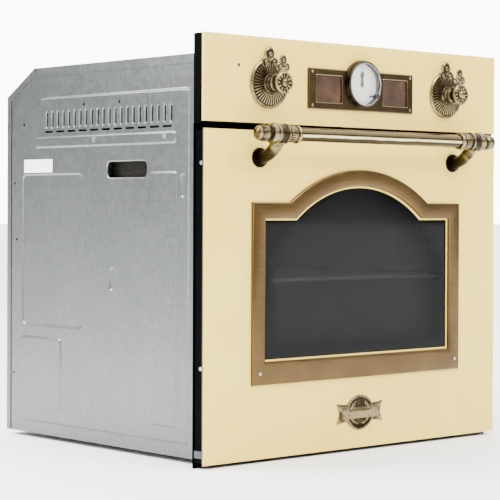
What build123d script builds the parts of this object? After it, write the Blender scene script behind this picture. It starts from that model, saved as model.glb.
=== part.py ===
"""Built-in wall oven with a bronze-trimmed ivory front: every piece as its own solid, in millimetres.

Frame: the origin is at the bottom of the housing, in the middle of its width and in the plane of the
cabinet's front edge, where the back of the front flange rests. +X is to the right as the user faces the
oven, +Y goes back into the cabinet and +Z is up.
"""
from build123d import *
import os
from math import cos, pi, sin

os.makedirs("parts", exist_ok=True)

# ---- Driving dimensions ------------------------------------------------------------------------
FRONT_WIDTH = 595.0          # the visible front, from edge to edge
FRONT_TOP = 585.0            # top of the control fascia
FRONT_LOW = -7.5             # bottom lip of the front frame
FACE_Y = -23.0               # the plane of the ivory faces
SHEET = 1.0                  # galvanised housing sheet
HOUSING_HALF = 278.0         # half the width of the housing, over its raised side fields
HOUSING_TOP = 560.0
HOUSING_DEPTH = 482.0
CHAMFER_Y = 409.0            # where the sloping rear corner leaves the top
CHAMFER_Z = 518.0            # where it meets the back
FRAME_SHEET = 1.5            # black enamelled front frame
MOUTH_HALF = 262.0           # half the width of the recess that the door's inner glass enters
MOUTH_LOW, MOUTH_HIGH = 42.0, 440.0
RECESS = 12.5                # how far back the cavity's flange lies
CAVITY_HALF, CAVITY_LOW, CAVITY_HIGH, CAVITY_BACK = 232.0, 70.0, 420.0, 412.0
CAVITY_WALL = 1.5
CAVITY_CORNER = 12.0
PANEL_LOW = 465.0            # bottom of the control fascia
DOOR_LOW, DOOR_HIGH = -2.5, 455.0
DOOR_BACK = -4.0             # rear plane of the door's outer box
HINGE_X, HINGE_Y, HINGE_Z = 250.0, -15.0, 4.0
ARM_Z = 8.0                  # middle height of a hinge arm behind its pivot
BOX_LOW = DOOR_LOW + 3.0     # bottom of the door's channels and rails, inside its skin
FIXING_X, FIXING_Z, FIXING_R = 288.0, (90.0, 400.0), 2.5   # screws into the cabinet's sides
KNOB_X, KNOB_Z = 181.5, 520.0
CLOCK_Z = 528.0
BAR_Y, BAR_Z, BAR_R = FACE_Y - 43.0, 449.0, 9.5
BRACKET_X, BRACKET_Z = 198.0, 417.0
FAN_Z = 245.0                # axis of the convection fan
SHELF_Z, TRAY_Z = 238.0, 135.0   # middles of the runner wires that carry the shelf and the tray
SIDES = (("left", -1), ("right", 1))

# ---- Housing panels ----------------------------------------------------------------------------
BORDER_X = HOUSING_HALF - 2.5      # outer plane of the side panel's border
SEAT = 0.3                   # the frame is pressed in this far where the housing's edges stand on it
FIELD = [(33, 18), (446, 18), (446, 486), (391, 514), (33, 514)]   # raised field of a side, (y, z)
PAD_STEP = 1.2               # how far a pad stands out from that field
GRAB = (126.0, 223.0, 389.0, 415.0)                                # hand hole: y from, to, z from, to
LOUVRE_Y, LOUVRE_PITCH, LOUVRE_COUNT = 73.0, 14.3, 22
LOUVRE_DEPTH = 2.5
LAP = 1.0                    # sheet of the top cover and rear panel where it laps the sides

# ---- Inside the cavity -------------------------------------------------------------------------
LAMP_X, LAMP_Z = -185.0, 378.0
GRILL_Z, GRILL_LEG = 404.0, 25.0   # height of the grill element, half the distance of its legs
RING_R, RING_LEG = 84.0, 18.0      # the ring element round the fan, and its legs
TUBE_R = 3.25                # radius of the heater tubes
RUNNERS = (TRAY_Z - 52, TRAY_Z, 187.0, SHELF_Z, 290.0, 342.0)
RUNNER_PAIR = 17.0           # the upper wire of each pair keeps the shelf from tipping
WIRE_R = 2.0
GAP = 0.3                    # clearance between pieces that slide on each other

# ---- Services ----------------------------------------------------------------------------------
BLOWER_Y, BLOWER_Z, BLOWER_R = 330.0, 500.0, 24.0
SUPPLY_X, GLAND_Z = 200.0, 480.0   # terminal block and cable gland

# ---- Control panel -----------------------------------------------------------------------------
PLATE_HALF, PLATE_LOW, PLATE_HIGH = 107.0, 489.0, 547.0
PANE_FROM, PANE_TO, PANE_LOW, PANE_HIGH = 42.0, 94.0, 498.0, 538.0
CLOCK_R, DIAL_R = 35.0, 30.0
SET_X, SET_DZ = 17.0, -17.0  # the clock's setting knob, from the clock's middle
LAMP_HOLE = (-236.0, 543.5, 2.6)   # pilot lamp: x, z and radius of its hole
KNOB_BORE = 3.1

# ---- Door --------------------------------------------------------------------------------------
WINDOW = dict(half_width=188.5, low=133.0, shoulder=332.5, arch_half=129.0, peak=379.5)
BEZEL = dict(half_width=212.0, low=101.0, shoulder=355.0, arch_half=141.0, peak=403.0)
LIP = 2.5                    # how much of the ivory skin shows inside the bezel
SKIN_DEPTH = 3.2             # the skin with its folded edge
BADGE_Z = 49.0
SHEET_STEEL = 1.5            # thickness of the door's inner sheets
BAR_HALF = 205.0
COLLAR_R = 11.8              # the handle's collars, which the brackets grip


# ---- Helpers -----------------------------------------------------------------------------------
def block(x0, x1, y0, y1, z0, z1):
    """A box from its limits along each axis."""
    return Pos((x0 + x1) / 2, (y0 + y1) / 2, (z0 + z1) / 2) * Box(x1 - x0, y1 - y0, z1 - z0)


def rod_x(x0, x1, y, z, r):
    return Pos((x0 + x1) / 2, y, z) * Rot(0, 90, 0) * Cylinder(r, x1 - x0)


def rod_y(x, y0, y1, z, r):
    return Pos(x, (y0 + y1) / 2, z) * Rot(90, 0, 0) * Cylinder(r, y1 - y0)


def rod_z(x, y, z0, z1, r):
    return Pos(x, y, (z0 + z1) / 2) * Cylinder(r, z1 - z0)


def plate_xz(face, y_back, thickness):
    """A flat outline in x and z made a plate whose back is at y_back and whose front is nearer the user."""
    return extrude(Plane.XZ.offset(-y_back) * face, thickness)


def rect(x0, x1, z0, z1, corner=0.0):
    shape = Rectangle(x1 - x0, z1 - z0) if corner == 0 else RectangleRounded(x1 - x0, z1 - z0, corner)
    return Pos((x0 + x1) / 2, (z0 + z1) / 2) * shape


def outline(points):
    return make_face(Polyline(*points, close=True))


def turned_y(profile, x=0.0, y=0.0, z=0.0):
    """A piece turned about an axis along Y: profile is (radius, distance along +Y)."""
    return Pos(x, y, z) * revolve(outline(profile), Axis.Y)


def turned_x(profile, x=0.0, y=0.0, z=0.0):
    """A piece turned about an axis along X: profile is (distance along +X, radius)."""
    return Pos(x, y, z) * revolve(outline(profile), Axis.X)


def mirrored(shape, side):
    """The shape as drawn for the right-hand side (+X), or its mirror image for the left."""
    return shape if side > 0 else mirror(shape, Plane.YZ)


def arched(half_width, low, shoulder, arch_half, peak):
    """A window outline: a rectangle with a round arch rising from the middle of its top."""
    edges = Polyline((-arch_half, shoulder), (-half_width, shoulder), (-half_width, low),
                     (half_width, low), (half_width, shoulder), (arch_half, shoulder))
    edges += ThreePointArc((arch_half, shoulder), (0, peak), (-arch_half, shoulder))
    return make_face(edges)


nodes = {}


def keep(name, shape):
    nodes[name] = shape


# ---- Housing -----------------------------------------------------------------------------------
def yz_plate(points, x, thickness, taper=0.0):
    """A plate in y and z that grows towards +X from x."""
    return extrude(Plane.YZ.offset(x) * outline(points), thickness, taper=taper)


def side_panel():
    """Right-hand side panel: a raised field inside a flat border, with pads, vents and a hand hole."""
    border = [(-SEAT, 1.2), (HOUSING_DEPTH - SHEET, 1.2), (HOUSING_DEPTH - SHEET, CHAMFER_Z - SHEET),
              (CHAMFER_Y - SHEET, HOUSING_TOP - SHEET), (-SEAT, HOUSING_TOP - SHEET)]
    panel = yz_plate(border, BORDER_X - SHEET, SHEET)
    panel += yz_plate(FIELD, BORDER_X - 0.01, HOUSING_HALF - BORDER_X, taper=35)
    inset = [(37, 22), (442, 22), (442, 483.5), (390, 510), (37, 510)]
    panel -= yz_plate(inset, BORDER_X - 2 * SHEET, HOUSING_HALF - BORDER_X + SHEET)
    lower_rear = [(334, 40), (438, 40), (438, 149), (334, 149)]
    front = [(58, 40), (122, 40), (122, 398), (58, 398)]
    for pad in (lower_rear, front):
        panel += yz_plate(pad, HOUSING_HALF - 0.01, PAD_STEP, taper=35)
    rear = Plane.YZ.offset(HOUSING_HALF + 0.01) * Pos(361, 282) * RectangleRounded(162, 232, 10)
    panel -= extrude(rear, -0.6, taper=35)
    for y, z in ((208, 243), (40, 378)):
        dimple = Plane.YZ.offset(HOUSING_HALF - 0.01) * Pos(y, z) * SlotOverall(34, 14, rotation=90)
        panel += extrude(dimple, PAD_STEP, taper=35)
    panel += yz_plate([(60, 437), (404, 437), (404, 454), (60, 454)], HOUSING_HALF - 0.01, PAD_STEP, taper=35)
    floor = HOUSING_HALF - LOUVRE_DEPTH
    grooves, cuts = [], []
    for i in range(LOUVRE_COUNT):
        y = LOUVRE_Y + i * LOUVRE_PITCH
        panel += block(floor - SHEET, HOUSING_HALF - SHEET / 2, y - 4.5, y + 4.5, 465.5, 494)
        grooves.append(block(floor, HOUSING_HALF + 9, y - 3.5, y + 3.5, 466.5, 493))
        if i % 2 == 0:
            cuts.append(block(HOUSING_HALF - 9, HOUSING_HALF + 9, y - 2, y + 18, 459.8, 462.8))
    for y, z, r in ((278, 500, 2.2), (191, 500, 2.2), (437, 474, 2.2), (463, 384, 2), (457, 297, 2),
                    (464, 90, 2)):
        cuts.append(rod_x(HOUSING_HALF - 9, HOUSING_HALF + 9, y, z, r))
    hole = Plane.YZ.offset(HOUSING_HALF - 9) * Pos((GRAB[0] + GRAB[1]) / 2, (GRAB[2] + GRAB[3]) / 2)
    cuts.append(extrude(hole * RectangleRounded(GRAB[1] - GRAB[0], GRAB[3] - GRAB[2], 9), 18))
    return panel - grooves - cuts


def housing():
    panel = side_panel()
    for name, side in SIDES:
        keep(f"side_panel_{name}", mirrored(panel, side))
    inner = BORDER_X - SHEET
    lap = BORDER_X + LAP
    # Top cover: a sheet that laps the side panels, with a row of slots over the blower.
    top = block(-lap, lap, 0, CHAMFER_Y - 1, HOUSING_TOP - SHEET, HOUSING_TOP)
    top += block(-inner, inner, 0, SHEET, HOUSING_TOP - 6, HOUSING_TOP)
    top += [block(side * (BORDER_X + LAP / 2) - LAP / 2, side * (BORDER_X + LAP / 2) + LAP / 2, 0,
                  CHAMFER_Y - 6, HOUSING_TOP - 13, HOUSING_TOP) for side in (-1, 1)]
    slots = [block(x - 2.5, x + 2.5, 300, 350, HOUSING_TOP - 5, HOUSING_TOP + 5)
             for x in [-200 + 16 * i for i in range(26)]]
    keep("top_cover", top - slots)
    # Base pan: the bottom sheet, with turned-up front and rear edges.
    base = block(-BORDER_X, BORDER_X, 0, HOUSING_DEPTH - SHEET, 0, 1.2)
    base += block(-inner, inner, -SEAT, SHEET, SEAT, 8)
    base += block(-inner, inner, HOUSING_DEPTH - 2 * SHEET, HOUSING_DEPTH - SHEET, 0, 20)
    base -= [block(x - 30, x + 30, 180, 186, -3, 5) for x in (-180, -60, 60, 180)]
    base -= [block(side * HINGE_X - 6, side * HINGE_X + 6, -3, 3, 1.2, 9) for side in (-1, 1)]
    keep("base_pan", base)
    # Rear panel: the back and the sloping corner in one folded sheet.
    profile = [(HOUSING_DEPTH, 0), (HOUSING_DEPTH, CHAMFER_Z + 0.3), (CHAMFER_Y, HOUSING_TOP),
               (CHAMFER_Y - 1, HOUSING_TOP - SHEET), (HOUSING_DEPTH - SHEET, CHAMFER_Z - 0.8),
               (HOUSING_DEPTH - SHEET, 0)]
    rear = extrude(Plane.YZ.offset(-lap) * outline(profile), 2 * lap)
    flange = [(HOUSING_DEPTH, 0), (HOUSING_DEPTH, CHAMFER_Z), (CHAMFER_Y, HOUSING_TOP),
              (CHAMFER_Y - 5, HOUSING_TOP - 9), (HOUSING_DEPTH - 10, CHAMFER_Z - 7), (HOUSING_DEPTH - 10, 0)]
    for side in (-1, 1):
        rear += mirrored(yz_plate(flange, BORDER_X, LAP), side)
    rear += block(-inner, inner, HOUSING_DEPTH - 0.01, HOUSING_DEPTH + 2.5, 60, 430) - block(
        -inner - 1, inner + 1, HOUSING_DEPTH - 3, HOUSING_DEPTH + 1.5, 61, 429)
    rear -= block(-inner + 1, inner - 1, HOUSING_DEPTH - 3, HOUSING_DEPTH + 1.5, 62, 428)
    vents = [block(x - 3, x + 3, HOUSING_DEPTH - 5, HOUSING_DEPTH + 5, z, z + 40)
             for z in (150, 210, 270, 330) for x in [-70 + 14 * i for i in range(11)]]
    vents.append(rod_y(SUPPLY_X, HOUSING_DEPTH - 5, HOUSING_DEPTH + 5, GLAND_Z, 11))
    keep("rear_panel", rear - vents)
    heads = []
    for side in (-1, 1):
        for y, z in ((15, 120), (15, 300), (15, 480), (250, 447), (83, 447)):
            at = BORDER_X if y == 15 else HOUSING_HALF + PAD_STEP
            head = rod_x(at, at + 2.2, y, z, 3.6) - block(at + 1.4, at + 3, y - 3, y + 3, z - 0.5, z + 0.5)
            heads.append(mirrored(head, side))
        for z in (40, 450):
            head = rod_y(side * 260, HOUSING_DEPTH, HOUSING_DEPTH + 2.2, z, 3.6)
            heads.append(head - block(side * 260 - 3, side * 260 + 3, HOUSING_DEPTH + 1.4,
                                      HOUSING_DEPTH + 3, z - 0.5, z + 0.5))
    keep("housing_screws", Compound(children=heads))


def front_frame():
    """Black enamelled frame round the cavity's mouth, with its recess, lip, slots and fixing holes."""
    half = FRONT_WIDTH / 2
    frame = block(-half, half, -FRAME_SHEET, 0, FRONT_LOW, PANEL_LOW - 3)
    frame += block(-half, half, -4, 0, FRONT_LOW, FRONT_LOW + FRAME_SHEET)
    frame -= block(-BORDER_X - SEAT, BORDER_X + SEAT, -SEAT, 1, 0, PANEL_LOW)
    frame += block(-MOUTH_HALF - FRAME_SHEET, MOUTH_HALF + FRAME_SHEET, -0.5, RECESS,
                   MOUTH_LOW - FRAME_SHEET, MOUTH_HIGH + FRAME_SHEET)
    frame -= block(-MOUTH_HALF, MOUTH_HALF, -9, RECESS + 9, MOUTH_LOW, MOUTH_HIGH)
    cuts = []
    for side in (-1, 1):
        x = side * HINGE_X
        frame += block(x - 4.6, x + 4.6, -0.5, 60, 1.8, 29)
        cuts.append(block(x - 2.8, x + 2.8, -9, 52.1, 3.2, 27.5))
        for z in FIXING_Z:
            cuts.append(rod_y(side * FIXING_X, -9, 9, z, FIXING_R))
    for i in range(10):
        x = -225 + 50 * i
        cuts.append(block(x - 20, x + 20, -9, 9, 446, 458))
    keep("front_frame", frame - cuts)


# ---- Cavity and what is in it ------------------------------------------------------------------
def cavity():
    wall = CAVITY_WALL
    outer = Pos(0, (RECESS + CAVITY_BACK + wall) / 2, (CAVITY_LOW + CAVITY_HIGH) / 2) * Box(
        2 * (CAVITY_HALF + wall), CAVITY_BACK + wall - RECESS, CAVITY_HIGH - CAVITY_LOW + 2 * wall)
    outer = fillet(outer.edges().filter_by(Axis.Y), CAVITY_CORNER + wall)
    inner = Pos(0, CAVITY_BACK / 2, (CAVITY_LOW + CAVITY_HIGH) / 2) * Box(
        2 * CAVITY_HALF, CAVITY_BACK, CAVITY_HIGH - CAVITY_LOW)
    inner = fillet(inner.edges().filter_by(Axis.Y), CAVITY_CORNER)
    flange = block(-MOUTH_HALF, MOUTH_HALF, RECESS, RECESS + wall, MOUTH_LOW, MOUTH_HIGH)
    shell = outer + flange - inner
    leg_hole = TUBE_R + 0.55
    holes = [(0, FAN_Z, 6), (LAMP_X, LAMP_Z, 17)]
    holes += [(x, GRILL_Z, leg_hole) for x in (-GRILL_LEG, GRILL_LEG)]
    holes += [(x, FAN_Z + RING_R, leg_hole) for x in (-RING_LEG, RING_LEG)]
    cuts = [rod_y(x, CAVITY_BACK - 5, CAVITY_BACK + wall + 5, z, r) for x, z, r in holes]
    keep("cavity_shell", shell - cuts)


def gasket():
    """Rope seal that lies on the cavity's flange and meets the door's inner glass."""
    ring = Pos(0, 245) * (RectangleRounded(2 * 250, 2 * 184, 16) - RectangleRounded(2 * 242, 2 * 176, 10))
    keep("door_gasket", plate_xz(ring, RECESS, RECESS - 8.3))


def lamp():
    """Oven lamp in the cavity's back: a screwed glass, a small bulb and its ceramic holder."""
    place = (LAMP_X, CAVITY_BACK, LAMP_Z)
    glass = [(0, -19), (9, -18), (14, -14), (15.5, -9), (15.5, 0), (20, 0), (20, -3), (16.5, -3),
             (16.5, -9.5), (14.8, -15), (9.4, -19.2), (0, -20.4)]
    bulb = [(0, -14), (6, -12), (8, -7), (6, 0), (5, 4), (5, 18), (0, 18)]
    holder = [(5.3, 5), (16, 5), (16, 30), (0, 30), (0, 18.2), (5.3, 18.2)]
    keep("lamp_glass", turned_y(glass, *place))
    keep("lamp_bulb", turned_y(bulb, *place))
    keep("lamp_holder", turned_y(holder, *place))


def tube(points, bend):
    """A heater tube along straight runs joined by arcs of one radius."""
    path = FilletPolyline(*points, radius=bend)
    first_run = Vector(*points[1]) - Vector(*points[0])
    profile = Plane(origin=points[0], z_dir=first_run) * Circle(TUBE_R)
    return sweep(profile, path=path)


def elements():
    z, leg, out = GRILL_Z, GRILL_LEG, CAVITY_BACK + 22
    loops = [(-leg, out, z), (-leg, 360, z), (-75, 360, z), (-75, 90, z), (-130, 90, z), (-130, 360, z),
             (-185, 360, z), (-185, 50, z), (185, 50, z), (185, 360, z), (130, 360, z), (130, 90, z),
             (75, 90, z), (75, 360, z), (leg, 360, z), (leg, out, z)]
    keep("grill_element", tube(loops, 14))
    low = CAVITY_LOW - CAVITY_WALL - TUBE_R - 1
    base = [(-25, 440, low), (-25, 330, low), (-150, 330, low), (-150, 90, low), (150, 90, low),
            (150, 330, low), (25, 330, low), (25, 440, low)]
    keep("bottom_element", tube(base, 20))
    y = 399.0
    ring = Pos(0, y, FAN_Z) * Rot(90, 0, 0) * Torus(RING_R, TUBE_R)
    ring -= block(-RING_LEG + 0.5, RING_LEG - 0.5, y - 9, y + 9, FAN_Z + 60, FAN_Z + 100)
    top = FAN_Z + RING_R
    for x in (-RING_LEG, RING_LEG):
        ring += Pos(x, y, top - 1.5) * Sphere(TUBE_R + 0.8)
        ring += rod_y(x, y, CAVITY_BACK + 24, top, TUBE_R)
    keep("ring_element", ring)


def fans():
    """Convection fan behind a perforated cover, with its motor on the back of the cavity."""
    y0, y1 = 380.0, 381.5
    cover = block(-142, 142, y0, y1, FAN_Z - 125, FAN_Z + 125)
    cover += block(-150, 150, y1 - 0.01, CAVITY_BACK, FAN_Z - 132, FAN_Z + 132) - block(
        -148.5, 148.5, y1 - 1, CAVITY_BACK + 1, FAN_Z - 130.5, FAN_Z + 130.5)
    cover += block(-150, 150, y0, y1, FAN_Z - 132, FAN_Z + 132)
    holes = [rod_y(r * cos(a), y0 - 5, y1 + 5, FAN_Z + r * sin(a), 4.5)
             for r, count in ((14, 6), (28, 12), (42, 18), (56, 24))
             for a in [2 * pi * k / count for k in range(count)]]
    holes += [block(side * 120 - 14, side * 120 + 14, y0 - 5, y1 + 5, FAN_Z + z - 3, FAN_Z + z + 3)
              for side in (-1, 1) for z in (-100, -80, -60, -40, 40, 60, 80, 100)]
    keep("fan_baffle", cover - holes)
    wheel = rod_y(0, 390, 391.2, FAN_Z, 26)
    wheel += rod_y(0, 388, 397, FAN_Z, 8)
    for k in range(9):
        blade = block(18, 66, 390, 403, -0.6, 0.6)
        wheel += Pos(0, 0, FAN_Z) * Rot(0, 40 * k, 0) * Pos(2, 0, 0) * Rot(0, 12, 0) * blade
    wheel += rod_y(0, 397, 425, FAN_Z, 4)
    wheel += Pos(0, 388.1, FAN_Z) * Rot(90, 0, 0) * extrude(RegularPolygon(5.5, 6), 3.5)
    keep("fan_wheel", wheel)
    motor = rod_y(0, 425.5, 466, FAN_Z, 14)
    motor += block(-34, 34, 430, 452, FAN_Z - 38, FAN_Z + 30)
    for side in (-1, 1):
        motor += block(side * 30 - 4, side * 30 + 4, CAVITY_BACK + CAVITY_WALL + 0.1, 440,
                       FAN_Z - 60, FAN_Z - 30)
    motor -= rod_y(0, 420, 428, FAN_Z, 5)
    keep("fan_motor", motor)


def racks():
    """Chromed side racks: two uprights and five pairs of runner wires on each side."""
    rack = None
    for y in (60.0, 350.0):
        upright = rod_z(CAVITY_HALF - 3.5, y, 84, 396, 2.5)
        rack = upright if rack is None else rack + upright
    for z in RUNNERS:
        for dz in (0.0, RUNNER_PAIR):
            rack += rod_y(CAVITY_HALF - 9, 48, 362, z + dz, WIRE_R)
            for y in (60.0, 350.0):
                rack += rod_x(CAVITY_HALF - 9, CAVITY_HALF - 3.5, y, z + dz, WIRE_R)
    for y in (60.0, 350.0):
        for z in (90.0, 390.0):
            rack += rod_x(CAVITY_HALF - 3.5, CAVITY_HALF, y, z, 2.5)
    keep("side_racks", Compound(children=[rack, mirror(rack, Plane.YZ)]))


def contents():
    """Wire shelf and enamelled tray, each lying on a pair of runner wires."""
    z = SHELF_Z + WIRE_R + GAP + 3.0
    half, y0, y1 = 222.0, 32.0, 366.0
    shelf = rod_x(-half, half, y0, z, 3) + rod_x(-half, half, y1, z, 3)
    for x in (-half, half):
        shelf += rod_y(x, y0, y1, z, 3)
        shelf += Pos(x, y0, z) * Sphere(3) + Pos(x, y1, z) * Sphere(3)
    for i in range(17):
        shelf += rod_y(-200 + 25 * i, y0, y1, z + 2.2, 1.6)
    shelf += rod_x(-half, half, 150, z - 0.5, 2.2) + rod_x(-half, half, 260, z - 0.5, 2.2)
    keep("wire_shelf", shelf)
    low, high = TRAY_Z - 24.0, TRAY_Z + WIRE_R + GAP + 1.2
    rim = block(-225, 225, 34, 364, high - 1.2, high)
    rim = fillet(rim.edges().filter_by(Axis.Z), 12)
    well = fillet(block(-208, 208, 46, 352, low, high).edges().filter_by(Axis.Z), 24)
    room = fillet(block(-206.8, 206.8, 47.2, 350.8, low + 1.2, high + 5).edges().filter_by(Axis.Z), 22.8)
    keep("baking_tray", rim + well - room)


def insulation():
    """Glass-wool blanket round the cavity's sides, top and bottom."""
    gap = CAVITY_WALL + 0.3
    half = CAVITY_HALF + gap
    room = block(-half, half, 0, 500, CAVITY_LOW - gap - 2 * TUBE_R - 1, CAVITY_HIGH + gap)
    wool = block(-CAVITY_HALF - 28, CAVITY_HALF + 28, RECESS + 3, CAVITY_BACK - 4, 32, 446)
    keep("insulation", wool - room)


# ---- Services above and behind the cavity ------------------------------------------------------
def blower():
    """Cross-flow cooling blower: a long drum in a scroll that opens forwards over the cavity."""
    scroll = rod_x(-110, 110, BLOWER_Y, BLOWER_Z, 34) + block(-110, 110, 150, BLOWER_Y, 466, 490)
    scroll -= rod_x(-108.5, 108.5, BLOWER_Y, BLOWER_Z, 32.5)
    scroll -= block(-108.5, 108.5, 140, BLOWER_Y, 467.5, 488.5)
    scroll -= block(-108.5, 108.5, BLOWER_Y, BLOWER_Y + 40, BLOWER_Z + 5, BLOWER_Z + 40)
    scroll -= rod_x(100, 115, BLOWER_Y, BLOWER_Z, 4) + rod_x(-115, -100, BLOWER_Y, BLOWER_Z, 4)
    scroll += block(-110, 110, 200, 212, 447, 466.5)
    keep("blower_housing", scroll)
    drum = rod_x(-104, -102, BLOWER_Y, BLOWER_Z, BLOWER_R) + rod_x(102, 104, BLOWER_Y, BLOWER_Z, BLOWER_R)
    drum += rod_x(-118, 122, BLOWER_Y, BLOWER_Z, 3)
    for k in range(20):
        blade = block(-103, 103, -0.5, 0.5, BLOWER_R - 8, BLOWER_R - 0.5)
        drum += Pos(0, BLOWER_Y, BLOWER_Z) * Rot(18 * k, 0, 0) * blade
    keep("blower_drum", drum)
    motor = rod_x(124, 168, BLOWER_Y, BLOWER_Z, 22) + block(130, 160, BLOWER_Y - 30, BLOWER_Y + 30, 452, 480)
    keep("blower_motor", motor - rod_x(120, 130, BLOWER_Y, BLOWER_Z, 4))


def electrics():
    x = SUPPLY_X
    block_body = block(x - 36, x + 36, HOUSING_DEPTH - 40, HOUSING_DEPTH - 12, 425, 445)
    for i in range(4):
        block_body -= rod_z(x - 27 + 18 * i, HOUSING_DEPTH - 26, 436, 450, 4)
        block_body += rod_z(x - 27 + 18 * i, HOUSING_DEPTH - 26, 434, 440, 3.4)
    keep("terminal_block", block_body)
    gland = [(8, -7), (16, -7), (16, -1.0), (10.9, -1.0), (10.9, 0), (16, 0), (16, 5), (13, 16), (8, 16)]
    keep("cable_gland", turned_y(gland, x, HOUSING_DEPTH, GLAND_Z))


# ---- Control panel -----------------------------------------------------------------------------
def control_panel():
    half = FRONT_WIDTH / 2
    fascia = block(-half, half, FACE_Y, FACE_Y + 5, PANEL_LOW, FRONT_TOP)
    fascia = fillet(fascia.edges().group_by(Axis.Y)[0], 1.2)
    fascia -= block(-half + 1.5, half - 1.5, FACE_Y + 1.5, FACE_Y + 9, PANEL_LOW + 1.5, FRONT_TOP - 1.5)
    carrier = block(-half + 0.5, half - 0.5, FACE_Y + 5, 0, PANEL_LOW - 3, FRONT_TOP - 0.5)
    carrier -= block(-half + 2.5, half - 2.5, FACE_Y + 7, 9, PANEL_LOW - 1, FRONT_TOP - 2.5)
    holes = [rod_y(side * KNOB_X, FACE_Y - 9, 0, KNOB_Z, 6.5) for side in (-1, 1)]
    holes.append(rod_y(0, FACE_Y - 9, 0, CLOCK_Z, 26))
    holes.append(rod_y(LAMP_HOLE[0], FACE_Y - 9, 0, LAMP_HOLE[1], LAMP_HOLE[2]))
    for side in (-1, 1):
        x = side * (PANE_FROM + PANE_TO) / 2
        half_pane = (PANE_TO - PANE_FROM) / 2
        holes.append(block(x - half_pane, x + half_pane, FACE_Y - 9, 0, PANE_LOW, PANE_HIGH))
    keep("control_fascia", fascia - holes)
    keep("panel_carrier", carrier - holes)
    lens = turned_y([(0, -0.8), (1.4, -0.5), (LAMP_HOLE[2] - 0.15, 0.6), (LAMP_HOLE[2] - 0.15, 9), (0, 9)],
                    LAMP_HOLE[0], FACE_Y, LAMP_HOLE[1])
    keep("indicator_lens", lens)


def knob():
    """Cast knob: a fluted skirt with a trefoil pointer, a stepped hub and a second trefoil on the front."""
    body = revolve(outline([(KNOB_BORE, -1), (35, -1), (35, -3.2), (33, -4.4), (31, -3.6), (18, -7),
                            (12, -10), (9, -13), (9, -15), (12.6, -17), (12.6, -20), (9.5, -22), (9.5, -24),
                            (15, -28), (16, -29), (16, -34), (14, -36), (10, -36), (8, -38), (0, -38.6),
                            (0, -22), (KNOB_BORE, -22)]),
                   Axis.Y)
    crest = Pos(0, 36) * Rectangle(12, 14) + Pos(0, 46) * Circle(5.2)
    crest += Pos(-8, 40) * Circle(5) + Pos(8, 40) * Circle(5)
    body += extrude(Plane.XZ.offset(1) * crest, 3.4)
    top = Pos(0, 20) * Rectangle(10, 16) + Pos(0, 35.4) * Circle(4.4)
    top += Pos(-5, 29) * Circle(4) + Pos(5, 29) * Circle(4)
    body += extrude(Plane.XZ.offset(28.5) * top, 5)
    return body


def controls():
    casting = knob()
    for name, side in (("selector", -1), ("thermostat", 1)):
        x = side * KNOB_X
        keep(f"{name}_knob", Pos(x, FACE_Y, KNOB_Z) * casting)
        shaft = rod_y(x, FACE_Y - 21, -12.2, KNOB_Z, KNOB_BORE - 0.1)
        shaft -= block(x - 4, x + 4, FACE_Y - 22, FACE_Y - 4, KNOB_Z + 1.6, KNOB_Z + 4)
        keep(f"{name}_shaft", shaft)
    switch = block(-KNOB_X - 22, -KNOB_X + 22, -11, 22, KNOB_Z - 24, KNOB_Z + 24)
    switch += rod_y(-KNOB_X, -15.8, -11, KNOB_Z, 14) - rod_y(-KNOB_X, -17, -10.9, KNOB_Z, 3.4)
    switch -= rod_y(-KNOB_X, -17, -10.5, KNOB_Z, 3.4)
    switch += [block(-KNOB_X + dx - 3, -KNOB_X + dx + 3, 22, 30, KNOB_Z + dz - 0.5, KNOB_Z + dz + 0.5)
               for dx in (-14, 0, 14) for dz in (-16, 0, 16)]
    keep("selector_switch", switch)
    body = block(KNOB_X - 18, KNOB_X + 18, -11, 14, KNOB_Z - 26, KNOB_Z + 26)
    body += rod_y(KNOB_X, 14, 20, KNOB_Z, 16) + rod_y(KNOB_X, 20, 60, KNOB_Z, 1.2)
    body += rod_y(KNOB_X, -15.8, -11, KNOB_Z, 12)
    body -= rod_y(KNOB_X, -17, -10.5, KNOB_Z, 3.4)
    keep("thermostat_body", body)


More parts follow.
